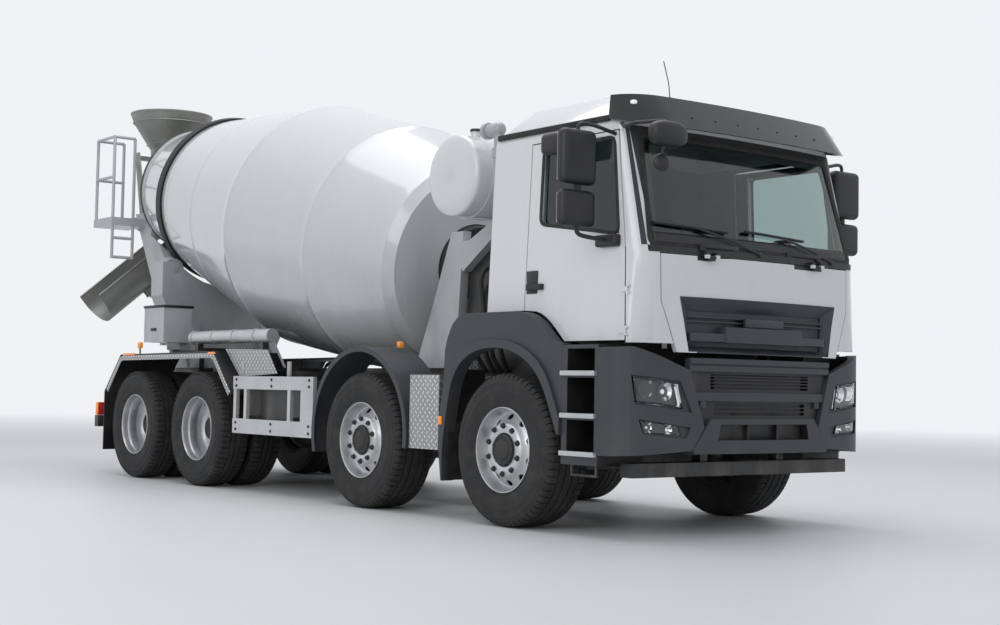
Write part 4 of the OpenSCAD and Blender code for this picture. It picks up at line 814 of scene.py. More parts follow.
def tyreShape(size):
    # Wall y = side - bulge |(r - middle) / reach|^power, crown r = radius - drop (y / edge)^2, less the depth
    # of a groove or a shoulder slot. The grooves sway by the zigzag's reach within each pitch.
    edge, start = size["edge"], size["slotFrom"]
    wallR = np.array(tyre["wallRadii"])
    bulge = np.abs((wallR - tyre["bulgeMiddle"]) / tyre["bulgeReach"]) ** tyre["bulgePower"]
    wallY = size["side"] - tyre["bulge"] * bulge
    wallY[list(tyre["ribs"])] += list(tyre["ribs"].values())
    shoulder = np.array(tyre["shoulder"]) + (edge, 0)
    half = tyre["grooveHalf"]
    floor = half * tyre["grooveFloor"]
    grooveY = np.array([[g - half, g - floor, g + floor, g + half] for g in size["grooves"]]).ravel()
    slotEnd = start - tyre["slotSlope"]
    crown = np.concatenate([[-edge, -start, -slotEnd], grooveY, [slotEnd, start, edge]])
    crownR = tyre["radius"] - tyre["crownDrop"] * (crown / edge) ** 2
    level = np.zeros(len(wallR) + len(shoulder))
    y = np.concatenate([-wallY, -shoulder[:, 0], crown, shoulder[::-1, 0], wallY[::-1]])
    r = np.concatenate([wallR, shoulder[:, 1], crownR, shoulder[::-1, 1], wallR[::-1]])
    groove = np.concatenate([level, [0, 0, 0], np.tile([0, 1, 1, 0], len(size["grooves"])), [0, 0, 0], level])
    swaying = np.concatenate([level, np.abs(crown) < start - tyre["slotSlope"] / 2, level])
    slotted = (np.abs(y) >= start - 1e-6) & (r > tyre["slotFoot"])
    count = tyre["pitches"]
    turn = (2 * math.pi * (np.arange(count)[:, None] + tyre["phases"]) / count).ravel()[:, None]
    slot, zigzag = (np.tile(tyre[key], count)[:, None] for key in ("slot", "zigzag"))
    radius = r - groove * tyre["grooveDepth"] - slot * slotted * tyre["slotDepth"]
    return turned(radius, y + zigzag * tyre["zigzagReach"] * swaying, turn, True)


def handHoles(outer, inner, thickness):
    # A sector's border, the edge of its oval hole, and both again at the back; carried round the wheel.
    # (angle, t) of the border runs round the sector; the hole is angle = a cos f, t = 0.5 + b sin f.
    half = math.pi / handHole["count"]
    arc, rise = np.linspace(-half, half, 9), np.linspace(0, 1, 5)
    border = np.concatenate([np.stack([arc[:-1], 0 * arc[:-1]], -1),
                             np.stack([half + 0 * rise[:-1], rise[:-1]], -1),
                             np.stack([arc[:0:-1], 1 + 0 * arc[:0:-1]], -1),
                             np.stack([-half + 0 * rise[:0:-1], rise[:0:-1]], -1)])
    middle = (outer[1] + inner[1]) / 2
    f = np.arctan2((border[:, 1] - 0.5) * 2, border[:, 0] / half)
    hole = np.stack([handHole["acrossHalf"] / middle * np.cos(f),
                     0.5 + handHole["radialHalf"] / (outer[1] - inner[1]) * np.sin(f)], -1)

    def carriedTo(spots, back):
        y = inner[0] + (outer[0] - inner[0]) * spots[:, 1] - back
        r = inner[1] + (outer[1] - inner[1]) * spots[:, 1]
        return np.stack([r * np.sin(spots[:, 0]), y, r * np.cos(spots[:, 0])], -1)
    rows = np.stack([carriedTo(border, 0), carriedTo(hole, 0), carriedTo(hole, thickness),
                     carriedTo(border, thickness)])
    return around(gridShape(rows, aroundV=True), handHole["count"])


def rimShape(rim):
    # Flange and dish, ring of hand holes, seat of the nuts and the barrel behind
    lip, face, barrel = (revolved(rim[part], 80) for part in ("lip", "face", "barrel"))
    return joined(lip, handHoles(rim["lip"][-1], rim["inner"], rim["thickness"]), face, barrel)


def hubShape(rim):
    # Cap, wheel nuts on their collars, and the brake drum behind the disc
    nut = joined(bolt(*hubParts["nut"]), revolved(hubParts["collar"], 10))
    nuts = around(moved(nut, (0, rim["nutSeat"], hubParts["nutCircle"])), hubParts["nuts"])
    brake = moved(revolved(hubParts["brake"], 48), (0, rim["face"][-1][0] - hubParts["brakeGap"], 0))
    heads = [around(moved(bolt(*hubParts["boltHead"]), (0, seat, radius)), count)
             for seat, radius, count in rim["hubBolts"]]
    return joined(revolved(rim["hub"], 64), brake, nuts, *heads)


for number, hub in hubs.items():
    size, rim = (steerTyre, steerRim) if number < 3 else (twinTyre, twinRim)
    tyres = tyreShape(size)
    if "spacing" in size:
        tyres = joined(tyres, moved(tyres, (0, -size["spacing"], 0)))
    shapes = {"tyre": (tyres, "tyreRubber"), "rim": (rimShape(rim), "rimSilver"),
              "hub": (hubShape(rim), "castIron")}
    # Faces nearer to the truck's middle than this are behind the disc. On the rim they are coloured dark cast
    # iron as painted shade.
    behind = size["outward"] + rim["lip"][-1][0] - rim["thickness"] - 0.001
    for side, sign in sides:
        for name, (shape, finish) in shapes.items():
            wheelPlace = (hub[0] - firstAxle, sign * size["outward"], hub[2])
            spot = moved(shape if sign > 0 else mirrored(shape), wheelPlace)
            # painted shade: the rim's faces behind the disc take dark cast iron in place of the rim's silver
            paintedShadeBehindDisc = [("castIron", within(wide=(None, behind)))] if name == "rim" else []
            addPiece(f"{name}_{number}_{side}", spot, finish, f"wheel_{number}_{side}", sharp=28.0,
                     zones=paintedShadeBehindDisc, stands=True)
print("wheels made")

# Drum
drumSkin = {"wall": 0.008, "segments": 160, "rings": 60, "ripple": 0.0009, "bead": 0.0028, "beadHalf": 0.009,
            "floorRadius": 0.55,
            "stations": [(2.05, 0.805), (2.14, 0.87), (3.04, 1.105), (4.37, 1.18), (6.46, 0.865),
                         (7.325, 0.6674)],
            "beads": (2.14, 3.04, 4.37, 5.42, 6.24),
            "head": [(1.97, 0), (1.97, 0.342), (1.978, 0.35), (2.046, 0.35), (2.05, 0.36), (2.05, 0.55)],
            "mouth": [(7.325, 0.684), (7.331, 0.690), (7.359, 0.690), (7.365, 0.684), (7.365, 0.658),
                      (7.359, 0.652)],
            "steelFrom": 2.055, "steelTo": 7.36, "steelDepth": 0.0045, "darkEnds": (2.0495, 7.326)}


def drumShape():
    # Outer r(a, s) = stations(s) + bead (1 - |s - weld| / half) + ripple w / 1.6, w = sin(3a + 2.1s) +
    # 0.6 sin(7a - 5s). The inner wall follows the stations one wall lower, down to a flat floor.
    stations = np.array(drumSkin["stations"])
    start, end = stations[[0, -1], 0]
    half = drumSkin["beadHalf"]
    along = np.unique(np.concatenate([stations[:, 0], np.linspace(start, end, drumSkin["rings"])]
                                     + [[w - half, w, w + half] for w in drumSkin["beads"]]).round(4))
    base = np.interp(along, *stations.T)
    bead = drumSkin["bead"] * np.clip(1 - np.abs(along[:, None] - drumSkin["beads"]) / half, 0, 1).max(1)
    turn = 2 * math.pi * np.arange(drumSkin["segments"])[:, None] / drumSkin["segments"]
    wave = drumSkin["ripple"] * (np.sin(3 * turn + 2.1 * along) + 0.6 * np.sin(7 * turn - 5 * along)) / 1.6
    head, mouth = np.array(drumSkin["head"]), np.array(drumSkin["mouth"])
    floor = start + drumSkin["wall"]
    s = np.concatenate([head[:, 0], along, mouth[:, 0], along[:0:-1], [floor, floor, floor]])
    before = head[:, 1] + 0 * turn
    inner = (base - drumSkin["wall"])[::-1]
    after = np.concatenate([mouth[:, 1], inner, [drumSkin["floorRadius"], 0]]) + 0 * turn
    return turned(np.hstack([before, base + bead + wave, after]), s, turn)


def inDrum(x, y, z):
    s, r = alongDrum(x, y, z)
    wall = np.interp(s, *np.array(drumSkin["stations"]).T) - drumSkin["steelDepth"]
    return (s > drumSkin["steelFrom"]) & (r < wall) & (s < drumSkin["steelTo"])


def atDrumEnds(x, y, z):
    s, r = alongDrum(x, y, z)
    return (s < drumSkin["darkEnds"][0]) | (s > drumSkin["darkEnds"][1])


drumAxis = (-math.cos(slope), 0, math.sin(slope))
addPiece("drum_skin", aimed(drumShape(), drumAxis, (0, 0, drumSeat)), "drumPaint", "drum_shell", stands=True,
         zones=[("sheetSteel", inDrum), ("framePaint", atDrumEnds)])
print("drum made")

# Cab. Columns of the nose's sections: height, front, width and depth of the rounded corner.
noseSections = np.array([(1.220, 1.300, 0.180, 0.120), (1.870, 1.290, 0.160, 0.125),
                         (2.720, 1.062, 0.110, 0.060)])
noseBow = 0.06
leftward, frontward, upward = (0, 1, 0), (1, 0, 0), (0, 0, 1)
screen = {"outline": [(-1.0, 1.91), (1.0, 1.91), (0.93, 2.665), (-0.93, 2.665)], "corner": 0.06,
          "spacing": 0.025, "seal": (0.040, 0.009, 0.0035), "sealLift": -0.001,
          "frit": (0.060, 0.002, 0.0008), "fritLift": -0.014, "fritMiddle": (0, 2.2875),
          "fritScale": (0.955, 0.90), "baseHalf": 0.965, "baseHeights": (1.925, 2.000), "baseSunk": 0.0035,
          "baseWall": 0.002}


def roundCorner(y, front, half, width, depth):
    # x = front - bow y^2 - depth (1 - sqrt(1 - e^2)), with e the share of the corner's width that |y| reaches
    e = np.clip((np.abs(y) - (half - width)) / width, 0, 1)
    return front - noseBow * y ** 2 - depth * (1 - np.sqrt(1 - e ** 2))


def noseX(y, z):
    # The corner's front, width and depth are read between the nose's sections
    front, width, depth = (np.interp(z, noseSections[:, 0], noseSections[:, k]) for k in (1, 2, 3))
    return roundCorner(y, front, sideY(z), width, depth)


def onNose(path, lift):
    # A path of (y, z) laid on the nose and lifted forward
    y, z = np.array(path, float).T
    return np.stack([noseX(y, z) + lift, y, z], -1)


def lathed(profile, count, direction, place=(0, 0, 0)):
    # A turned part that points in a direction
    return aimed(revolved(profile, count), direction, place)


def onSide(shape, sign):
    # A shape of the left side, or its mirror image for the right
    return shape if sign > 0 else mirrored(shape)


seam = evenPath(curvedPath(screen["outline"], screen["corner"], 7, True), screen["spacing"], True)
addPiece("screen_seal", carried(onNose(seam, screen["sealLift"]), rounded(*screen["seal"]), True, frontward),
         "sealRubber", "windscreen")
inset = screen["fritMiddle"] + (seam - screen["fritMiddle"]) * screen["fritScale"]
addPiece("screen_frit", carried(onNose(inset, screen["fritLift"]), rounded(*screen["frit"]), True, frontward),
         "blackPlastic", "windscreen")
y = np.linspace(-screen["baseHalf"], screen["baseHalf"], 41)[:, None]
z = np.linspace(*screen["baseHeights"], 5)
base = gridShape(np.stack([noseX(y, z + 0 * y) - screen["baseSunk"], y + 0 * z, z + 0 * y], -1))
addPiece("screen_base", base, "blackPlastic", "windscreen", thickness=screen["baseWall"])

# Ends and pivot of each blade, as (y, z)
wipers = {"blades": (((-0.97, 2.062), (-0.33, 2.036), (-0.051, 1.902)),
                     ((-0.16, 2.058), (0.445, 2.034), (0.74, 1.900))),
          "rubber": (0.011, 0.020, 0.004), "bar": 0.006, "arm": (0.016, 0.010, 0.004), "bladeLift": 0.012,
          "armLift": 0.024, "knobLift": 0.006, "armBend": (0.02, 0.01), "hold": 0.55,
          "knob": [(0, 0), (0, 0.021), (0.018, 0.018), (0.022, 0)]}


def wiper(left, right, pivot):
    # Rubber and bar between the two ends, and a bent arm from the pivot's knob to where it holds the blade
    blade = onNose(np.linspace(left, right, 14), wipers["bladeLift"])
    held = np.array(left) * (1 - wipers["hold"]) + np.array(right) * wipers["hold"]
    reach = onNose([pivot, (np.array(pivot) + held) / 2 + wipers["armBend"], held], wipers["armLift"])
    return joined(carried(blade, rounded(*wipers["rubber"])),
                  carried(blade + (wipers["bladeLift"], 0, 0), circle(wipers["bar"], 8)),
                  carried(curvedPath(reach, 0.08), rounded(*wipers["arm"])),
                  lathed(wipers["knob"], 14, (1, 0, 0.2), onNose([pivot], wipers["knobLift"])[0]))


bothWipers = joined(*[wiper(*blade) for blade in wipers["blades"]])
addPiece("wipers", bothWipers, "blackPlastic", "cab_shell", sharp=40)

cowlGrips = {"spans": ((-0.617, -0.252), (0.233, 0.600)), "height": 1.91, "footWidth": 0.05}


def cowlGrip(start, end):
    # Two feet in the cowl carry a bar
    x = float(noseX((start + end) / 2, cowlGrips["height"]))
    width = cowlGrips["footWidth"]
    feet = [block((x - 0.03, y, 1.890), (x + 0.022, y + width, 1.936), 0.008) for y in (start, end - width)]
    return joined(*feet, block((x + 0.004, start, 1.912), (x + 0.026, end, 1.944), 0.009))


bothGrips = joined(*[cowlGrip(*span) for span in cowlGrips["spans"]])
addPiece("cowl_grips", bothGrips, "blackPlastic", "cab_shell")

# Pieces that both sides of the cab have, written for the left side
window = {"outline": [(1.010, 1.990), (0.200, 2.110), (0.200, 2.640), (0.925, 2.640)], "corner": 0.05,
          "spacing": 0.03, "seal": (0.026, 0.008, 0.003), "proud": 0.0015}
handlePlate = {"level": 1.69, "sunk": 0.001, "proud": 0.004, "low": (0.083, 1.592), "high": (0.205, 1.785)}
doorMirror = {
    "heads": (((0.828, 1.205, 2.300), (0.925, 1.500, 2.660)), ((0.828, 1.205, 2.022), (0.918, 1.500, 2.262))),
    "headRadius": 0.042, "clamp": ((0.850, 1.315, 2.250), (0.885, 1.365, 2.312)),
    "lowerArm": [(0.868, 1.34, 2.03), (0.868, 1.335, 1.975), (0.90, 1.24, 1.957), (0.93, 1.12, 1.950)],
    "upperArm": [(0.868, 1.34, 2.65), (0.868, 1.335, 2.705), (0.905, 1.24, 2.700), (0.935, 1.045, 2.655)],
    "lowerTube": 0.015, "upperTube": 0.013, "foot": ((0.830, 1.083, 1.905), (1.030, 1.150, 1.985)),
    "glassHeights": ((2.325, 2.635), (2.045, 2.240)), "glassX": (0.8245, 0.831), "glassY": (1.228, 1.477)}
dripRail = {"ends": (-0.33, 0.868), "side": 1.056, "half": 0.010, "heights": (2.757, 2.797)}


def windowSeal(sign):
    # A flat profile along the window's outline, just proud of the door's skin
    path = evenPath(curvedPath(window["outline"], window["corner"], 6, True), window["spacing"], True)
    x, z = path.T
    line = np.stack([x, sign * (sideY(z) + window["proud"]), z], -1)
    return carried(line, rounded(*window["seal"]), True, leftward)


def handleShape(sign):
    # The plate behind the door's handle
    skin = sign * (sideY(handlePlate["level"]) - handlePlate["sunk"])
    y0, y1 = sorted((skin, skin + sign * handlePlate["proud"]))
    (x0, z0), (x1, z1) = handlePlate["low"], handlePlate["high"]
    return block((x0, y0, z0), (x1, y1, z1), 0.003)


def mirrorHeads():
    # Two heads with their clamp, an arm to the door at either end and the lower arm's foot
    heads = [block(low, high, doorMirror["headRadius"], 5) for low, high in doorMirror["heads"]]
    return joined(*heads, block(*doorMirror["clamp"], 0.010),
                  tube(doorMirror["lowerArm"], doorMirror["lowerTube"], 0.04),
                  tube(doorMirror["upperArm"], doorMirror["upperTube"], 0.04),
                  block(*doorMirror["foot"], 0.016, 4))


def mirrorGlass():
    (x0, x1), (y0, y1) = doorMirror["glassX"], doorMirror["glassY"]
    return joined(*[block((x0, y0, z0), (x1, y1, z1), 0.003) for z0, z1 in doorMirror["glassHeights"]])


def railShape(sign):
    (x0, x1), (z0, z1) = dripRail["ends"], dripRail["heights"]
    y = sign * dripRail["side"]
    return block((x0, y - dripRail["half"], z0), (x1, y + dripRail["half"], z1), 0.006)


for side, sign in sides:
    mirror = f"mirror_{side}"
    addPiece(f"window_seal_{side}", windowSeal(sign), "sealRubber", f"glass_{side}")
    addPiece(f"handle_plate_{side}", handleShape(sign), "blackPlastic", f"door_{side}")
    addPiece(f"mirror_heads_{side}", onSide(mirrorHeads(), sign), "blackPlastic", mirror, stands=True)
    addPiece(f"mirror_glass_{side}", onSide(mirrorGlass(), sign), "mirrorGlass", mirror)
    addPiece(f"drip_rail_{side}", railShape(sign), "sealRubber", "cab_roof")

kerbMirror = {"head": ((0.38, -1.262, 2.555), (0.66, -1.165, 2.70)), "headRadius": 0.035, "tube": 0.011,
              "arm": [(0.52, -1.062, 2.672), (0.52, -1.13, 2.70), (0.52, -1.21, 2.66)]}
kerbShape = joined(block(*kerbMirror["head"], kerbMirror["headRadius"], 4),
                   tube(kerbMirror["arm"], kerbMirror["tube"], 0.03))
addPiece("kerb_mirror", kerbShape, "blackPlastic", "mirror_right")

frontMirror = {"middle": (1.435, -1.075, 2.595), "halves": (0.065, 0.150, 0.082), "roundness": 0.7,
               "tube": 0.012, "arm": [(1.00, -1.074, 2.722), (1.03, -1.076, 2.690), (1.205, -1.149, 2.688),
                                      (1.42, -1.078, 2.684), (1.43, -1.075, 2.62)]}


def swollen(value):
    # sign(v) |v|^roundness, which swells a ball towards a box
    return np.sign(value) * np.abs(value) ** frontMirror["roundness"]


def frontMirrorHead():
    # x = middle + half c(turn) c(rise), y = middle + half s(turn) c(rise), z = middle + half s(rise), with c
    # and s the swollen cosine and sine
    (x, y, z), (halfX, halfY, halfZ) = frontMirror["middle"], frontMirror["halves"]
    turn, rise = np.linspace(0, 2 * math.pi, 33)[:-1, None], np.linspace(-math.pi / 2, math.pi / 2, 17)
    return gridShape(np.stack([x + halfX * swollen(np.cos(turn)) * swollen(np.cos(rise)),
                               y + halfY * swollen(np.sin(turn)) * swollen(np.cos(rise)),
                               z + halfZ * swollen(np.sin(rise)) + 0 * turn], -1), True)


addPiece("front_mirror_head", joined(frontMirrorHead(), tube(frontMirror["arm"], frontMirror["tube"], 0.03)),
         "blackPlastic", "front_mirror", stands=True)

roundMirror = {"place": (1.385, -1.085, 2.415), "faces": (0.9, -0.3, 0.12), "tube": 0.009,
               "profile": [(-0.012, 0), (-0.010, 0.052), (0.010, 0.060), (0.024, 0.050), (0.034, 0.028),
                           (0.036, 0)],
               "arm": [(1.40, -1.075, 2.53), (1.39, -1.08, 2.48), (1.385, -1.085, 2.43)]}
roundShape = joined(lathed(roundMirror["profile"], 28, roundMirror["faces"], roundMirror["place"]),
                    tube(roundMirror["arm"], roundMirror["tube"], 0.02))
addPiece("round_mirror", roundShape, "blackPlastic", "front_mirror")

antenna = {"rod": [(0.90, -0.534, 2.952), (0.89, -0.537, 3.07), (0.845, -0.545, 3.235)], "radius": 0.0035,
           "foot": (0.90, -0.534, 2.945),
           "profile": [(0, 0), (0, 0.022), (0.02, 0.016), (0.034, 0.007), (0.036, 0)]}
antennaShape = joined(tube(antenna["rod"], antenna["radius"], 0.03),
                      lathed(antenna["profile"], 16, upward, antenna["foot"]))
addPiece("antenna", antennaShape, "blackPlastic", "cab_roof")

grillePlate = {"low": (1.276, -0.19, 1.402), "high": (1.3035, 0.19, 1.462), "radius": 0.006}
plateShape = block(grillePlate["low"], grillePlate["high"], grillePlate["radius"])
addPiece("grille_plate", plateShape, "slatePlastic", "front_flap")

visor = {"lampLow": (1.018, 0.985, 2.850), "lampHigh": (1.056, 1.020, 2.878), "lampRadius": 0.008,
         "studY": (-0.62, -0.41, -0.20, 0.0, 0.20, 0.41, 0.62), "studFront": 1.2215, "studHeight": 2.785,
         "studFaces": (0.80, 0, 0.60),
         "stud": [(-0.004, 0), (-0.004, 0.010), (0.003, 0.009), (0.006, 0.005), (0.0065, 0)]}
visorLamps = bothSides(block(visor["lampLow"], visor["lampHigh"], visor["lampRadius"]))
addPiece("visor_lamps", visorLamps, "dayLens", "sun_visor")
spots = [(visor["studFront"] - noseBow * y * y, y, visor["studHeight"]) for y in visor["studY"]]
studs = scattered(lathed(visor["stud"], 12, visor["studFaces"]), spots)
addPiece("visor_studs", studs, "blackPlastic", "sun_visor")
print("cab pieces made")

# Lamps, for the left side. Outlines are (y, z) on the bumper's curve, bowls (radius, depth, y, z, how far
# back) and bulbs (y, z, how far back, radius).
lampSkin = {"front": 1.310, "half": 1.214, "width": 0.300, "depth": 0.210}
frontLamps = {"head": [(1.122, 1.059), (0.795, 1.018), (0.747, 0.850), (1.104, 0.890)],
              "fog": [(1.080, 0.775), (0.791, 0.742), (0.763, 0.679), (1.058, 0.693)],
              "cover": {"head": 0.0025, "fog": 0.0025, "shrink": 0.99, "wall": 0.003},
              "back": {"head": 0.062, "fog": 0.050, "shrink": 0.985, "wall": 0.004},
              "bowls": ((0.060, 0.045, 1.015, 0.978, 0.045), (0.056, 0.045, 0.870, 0.962, 0.035),
                        (0.030, 0.028, 1.000, 0.729, 0.034), (0.030, 0.028, 0.850, 0.714, 0.026)),
              "bulbs": ((1.015, 0.978, 0.078, 0.026), (0.870, 0.962, 0.068, 0.024),
                        (1.000, 0.729, 0.055, 0.012), (0.850, 0.714, 0.047, 0.012)),
              "strip": [(1.105, 0.905), (1.02, 0.890), (0.90, 0.877), (0.775, 0.864), (0.768, 0.880),
                        (0.800, 0.995)],
              "stripBack": 0.024, "stripSize": (0.016, 0.010, 0.004)}


def lampX(y):
    # The bumper's skin, from which the lamps are measured
    return roundCorner(y, lampSkin["front"], lampSkin["half"], lampSkin["width"], lampSkin["depth"])


def lampSheet(outline, depth, shrink):
    # The outline's corners a, b, c, d blended both ways, (1-u)(1-v) a + u(1-v) b + uv c + (1-u)v d, and laid
    # on the bumper's curve less a depth
    corners = np.array(outline, float)
    corners = corners.mean(0) + (corners - corners.mean(0)) * shrink
    u, v = np.linspace(0, 1, 18)[:, None, None], np.linspace(0, 1, 8)[None, :, None]
    spots = ((1 - u) * (1 - v) * corners[0] + u * (1 - v) * corners[1] + u * v * corners[2]
             + (1 - u) * v * corners[3])
    return gridShape(np.concatenate([lampX(spots[..., :1]) - depth, spots], -1))


def lampSheets(name, finish, values):
    # One piece of the sheets of both lamps on both sides
    sheets = [lampSheet(frontLamps[lamp], values[lamp], values["shrink"]) for lamp in ("head", "fog")]
    addPiece(name, bothSides(*sheets), finish, "lamps", thickness=values["wall"], stands=True)


def bowl(radius, depth, y, z, back):
    # Reflector: along = -depth (1 - (r / radius)^2) inside, closed by a shell behind
    shell = [(-depth - 0.004, 0), (-depth * 0.5, radius * 0.85), (-0.004, radius * 1.05),
             (0.002, radius * 1.04)]
    inside = [(-depth * (1 - (r / radius) ** 2), r) for r in np.linspace(radius, 0, 8)]
    return lathed(shell + inside, 36, frontward, (float(lampX(y)) - back, y, z))


def bulb(y, z, back, radius):
    profile = [(-0.01, 0), (-0.01, radius), (0.006, radius * 0.8), (0.012, radius * 0.4), (0.014, 0)]
    return lathed(profile, 20, frontward, (float(lampX(y)) - back, y, z))


def dayStrip():
    y, z = evenPath(curvedPath(frontLamps["strip"], 0.02), 0.012).T
    line = np.stack([lampX(y) - frontLamps["stripBack"], y, z], -1)
    return carried(line, rounded(*frontLamps["stripSize"]), False, frontward)


lampSheets("lamp_covers", "coverGlass", frontLamps["cover"])
lampSheets("lamp_backs", "slatePlastic", frontLamps["back"])
bowls = [bowl(*values) for values in frontLamps["bowls"]]
addPiece("lamp_bowls", bothSides(*bowls), "reflector", "lamps", stands=True)
bulbs = [bulb(*values) for values in frontLamps["bulbs"]]
addPiece("lamp_glow", bothSides(dayStrip(), *bulbs), "dayLens", "lamps", stands=True)

# Small lamps as (low corner, high corner, edge radius)
rearLamp = {"box": ((-7.112, 0.782, 0.602), (-7.052, 1.168, 0.738), 0.008), "amberFrom": 1.06}
markerLamps = {"pairs": (((-0.747, 1.234, 0.690), (-0.711, 1.252, 0.752), 0.007),
                         ((-6.278, 1.232, 1.229), (-6.009, 1.248, 1.253), 0.010),
                         ((-4.417, 1.232, 1.229), (-4.279, 1.248, 1.251), 0.010),
                         ((-1.690, 0.950, 1.270), (-1.640, 0.990, 1.322), 0.010)),
               "single": ((-5.962, -1.240, 1.300), (-5.900, -1.200, 1.362), 0.012), "tube": 0.008,
               "stalk": [(-5.931, -1.218, 1.222), (-5.931, -1.218, 1.262), (-5.931, -1.220, 1.303)]}
addPiece("rear_lamps", bothSides(block(*rearLamp["box"])), "redLens", "lamps", stands=True,
         zones=[("amberLens", within(wide=(rearLamp["amberFrom"], None)))])
pairs = bothSides(*[block(*lamp) for lamp in markerLamps["pairs"]])
addPiece("marker_lamps", joined(pairs, block(*markerLamps["single"])), "amberLens", "lamps")
addPiece("lamp_stalk", tube(markerLamps["stalk"], markerLamps["tube"], 0.01), "blackPlastic", "lamps")
print("lamps made")

# Chassis. Outlines are (along, height) and are carried across from one y to another.
arch = {"opening": [(0.5997, 0.660), (0.578, 0.660), (0.556, 0.715), (0.380, 1.085), (0.060, 1.250),
                    (-0.340, 1.245), (-0.600, 1.080), (-0.710, 0.560), (-0.705, 0.280)],
        "back": [(-0.720, 0.280), (-0.760, 0.560)],
        "top": [(-0.728, 1.240), (-0.700, 1.330), (-0.640, 1.430), (-0.560, 1.490), (-0.470, 1.501),
                (0.090, 1.501), (0.195, 1.491), (0.248, 1.476), (0.300, 1.450), (0.360, 1.411),
                (0.418, 1.362), (0.500, 1.290), (0.530, 1.277), (0.5997, 1.275)],
        "lip": [(-0.748, 0.800), (-0.668, 1.118), (-0.370, 1.305), (0.085, 1.308), (0.432, 1.138),
                (0.5997, 0.775)],
        "liner": [(-0.640, 1.240), (-0.520, 1.380), (0.250, 1.380), (0.520, 1.100), (0.530, 1.110),
                  (0.258, 1.395), (-0.528, 1.395), (-0.655, 1.240)],
        "bend": 0.19, "panelY": (1.130, 1.214), "lipY": (1.210, 1.240), "linerY": (0.850, 1.1297),
        "linerArm": ((-0.600, 0.42, 1.27), (-0.540, 0.852, 1.31))}


def addArch(name, finish, edge, *shapes):
    # A part of both front arches
    addPiece(name, bothSides(*shapes), finish, "wheel_arches", edge=edge, stands=True)


opening = curvedPath(arch["opening"], arch["bend"], 7)
panel = np.vstack([arch["back"], curvedPath(arch["top"], 0.03, 3), opening])
lip = np.vstack([arch["back"][:1], curvedPath(arch["back"][1:] + arch["lip"], arch["bend"], 7), opening])
addArch("arch_panels", "slatePlastic", 0.012, plate(panel, 1, *arch["panelY"]))
addArch("arch_lips", "slatePlastic", 0.005, plate(lip, 1, *arch["lipY"]))
liner = plate(arch["liner"], 1, *arch["linerY"])
addArch("arch_liners", "blackPlastic", 0.003, liner, block(*arch["linerArm"]))

tread = {"low": (-0.006, -0.003, -0.008), "high": (0.006, 0.004, 0.0205), "radius": 0.002, "side": 1.2375,
         "heights": (0.54, 0.79, 1.07), "from": 0.622, "to": 0.945, "spacing": 0.024}
along = np.arange(tread["from"], tread["to"], tread["spacing"])
spots = [(x, tread["side"], z) for z in tread["heights"] for x in along]
teeth = scattered(block(tread["low"], tread["high"], tread["radius"]), spots)
addPiece("tread_teeth", bothSides(teeth), "railAluminium", "steps")

mudFlap = ((-0.7005, 0.86, 0.285), (-0.6905, 1.200, 1.10), 0.003)
addPiece("mud_flaps", bothSides(block(*mudFlap)), "sealRubber", "wheel_arches")

brightEdge = {"size": (0.048, 0.005, 0.002),
              "path": [(-6.655, 1.2385, 0.868), (-6.332, 1.2385, 1.202), (-4.328, 1.2385, 1.219),
                       (-3.992, 1.2385, 0.870)]}
edging = carried(curvedPath(brightEdge["path"], 0.05), rounded(*brightEdge["size"]), False, leftward)
addPiece("mudguard_edges", bothSides(edging), "treadPlate", "rear_mudguards")

sidePlate = {"outline": [(-4.24, 1.28), (-3.46, 1.267), (-3.28, 1.056), (-3.955, 1.026)], "y": (1.150, 1.154),
             "posts": (-3.92, -3.10), "postWidth": 0.05, "postY": (1.142, 1.162), "postHeights": (0.98, 1.16)}
checker = bothSides(plate(sidePlate["outline"], 1, *sidePlate["y"]))
addPiece("side_plates", checker, "treadPlate", "side_boxes")
(y0, y1), (z0, z1) = sidePlate["postY"], sidePlate["postHeights"]
posts = [block((x, y0, z0), (x + sidePlate["postWidth"], y1, z1), 0.004) for x in sidePlate["posts"]]
addPiece("guard_posts", bothSides(*posts), "standPaint", "side_boxes")

guardBolt = {"along": (-3.88, -3.25, -2.62), "side": 1.225, "heights": (0.555, 0.615, 0.945, 1.000),
             "radius": 0.011, "height": 0.008}
head = aimed(bolt(guardBolt["radius"], guardBolt["height"]), leftward)
spots = [(x, guardBolt["side"], z) for x in guardBolt["along"] for z in guardBolt["heights"]]
addPiece("guard_bolts", bothSides(scattered(head, spots)), "castIron", "side_guards")

boxLid = (((-5.895, -1.215, 1.700), (-5.425, -0.885, 1.728), 0.010),
          ((-5.72, -1.2125, 1.47), (-5.60, -1.203, 1.50), 0.003))
addPiece("box_lid", joined(*[block(*box) for box in boxLid]), "blackPlastic", "control_box")

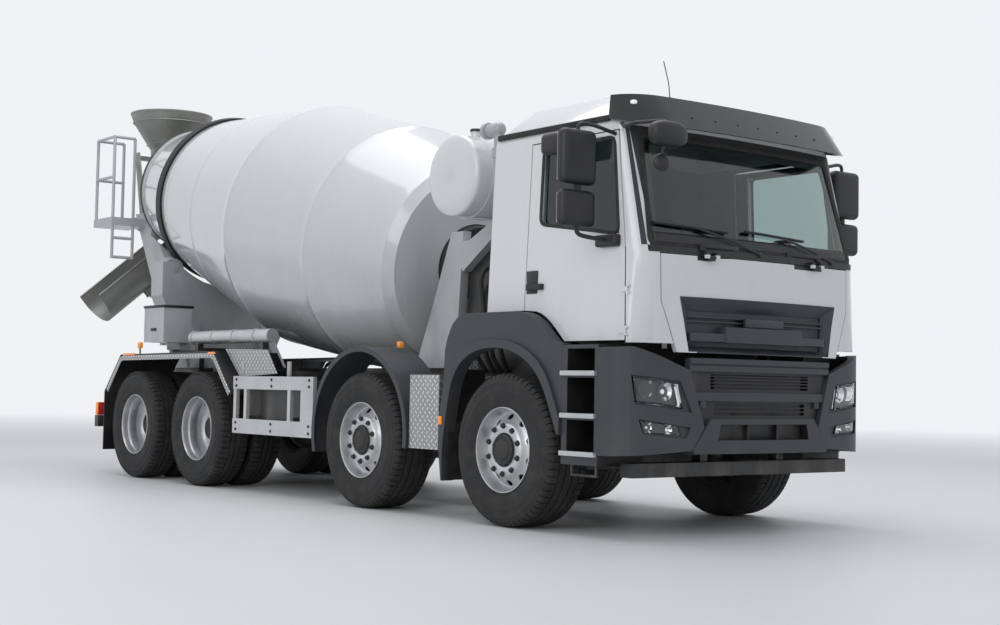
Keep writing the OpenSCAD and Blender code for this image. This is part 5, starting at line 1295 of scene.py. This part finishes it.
hoses = {"radius": 0.019, "bend": 0.12, "paths": (
    [(-1.2, -0.4, 1.95), (-1.12, -0.6, 1.86), (-1.02, -0.62, 1.5), (-1.1, -0.56, 1.26), (-1.12, -0.45, 1.09)],
    [(-1.22, -0.4, 1.82), (-1.08, -0.58, 1.72), (-0.94, -0.6, 1.44), (-1.02, -0.56, 1.24),
     (-1.03, -0.45, 1.09)],
    [(-1.24, -0.4, 1.7), (-1.1, -0.56, 1.62), (-1.14, -0.62, 1.36), (-1.2, -0.56, 1.22),
     (-1.21, -0.45, 1.09)],
    [(-1.16, -0.38, 2.05), (-0.98, -0.5, 2.02), (-0.86, -0.62, 1.7), (-0.9, -0.56, 1.25),
     (-0.93, -0.45, 1.09)])}
pipes = [tube(path, hoses["radius"], hoses["bend"]) for path in hoses["paths"]]
addPiece("pump_hoses", joined(*pipes), "sealRubber", "drum_drive")

enginePanel = ((-1.34, 0.428, 0.98), (0.05, 0.436, 1.284), 0.003)
addPiece("engine_panels", bothSides(block(*enginePanel)), "blackPlastic", "engine")
print("chassis pieces made")

# Hopper, chute and tank. Hoops are (radius, height, thickness).
hopper = {"along": -7.90, "hoops": ((0.4600, 4.070, 0.0095), (0.433, 3.970, 0.008), (0.272, 3.720, 0.007))}
chute = {"along": -7.95, "half": 0.26, "pivot": 2.45, "lift": 0.18, "slope": math.radians(40),
         "ends": (-0.005, -1.045), "bead": 0.012}
tankCap = {"place": (-0.81, -0.90, 2.905),
           "profile": [(0, 0), (0, 0.046), (0.016, 0.046), (0.022, 0.040), (0.022, 0)]}


def hoop(radius, height, thick):
    # A ring of the radius about the hopper's upright axis
    turn = 2 * math.pi * np.arange(64) / 64
    line = np.stack([hopper["along"] + radius * np.cos(turn), radius * np.sin(turn), height + 0 * turn], -1)
    return carried(line, circle(thick, 8), True, upward)


def chuteBead(x):
    # With a the place along the trough, y = a cos(slope) - lift sin(slope) and
    # z = pivot + a sin(slope) + lift cos(slope)
    cosine, sine, lift = math.cos(chute["slope"]), math.sin(chute["slope"]), chute["lift"]
    line = [(x, a * cosine - lift * sine, chute["pivot"] + a * sine + lift * cosine)
            for a in np.linspace(*chute["ends"], 8)]
    return carried(line, circle(chute["bead"], 10))


addPiece("hopper_hoops", joined(*[hoop(*values) for values in hopper["hoops"]]), "sheetSteel", "feed_hopper")
beads = [chuteBead(chute["along"] + sign * chute["half"]) for side, sign in sides]
addPiece("chute_beads", joined(*beads), "sheetSteel", "chute")
addPiece("tank_cap", lathed(tankCap["profile"], 24, upward, tankCap["place"]), "blackPlastic", "water_tank")
print("hopper, chute and tank pieces made")
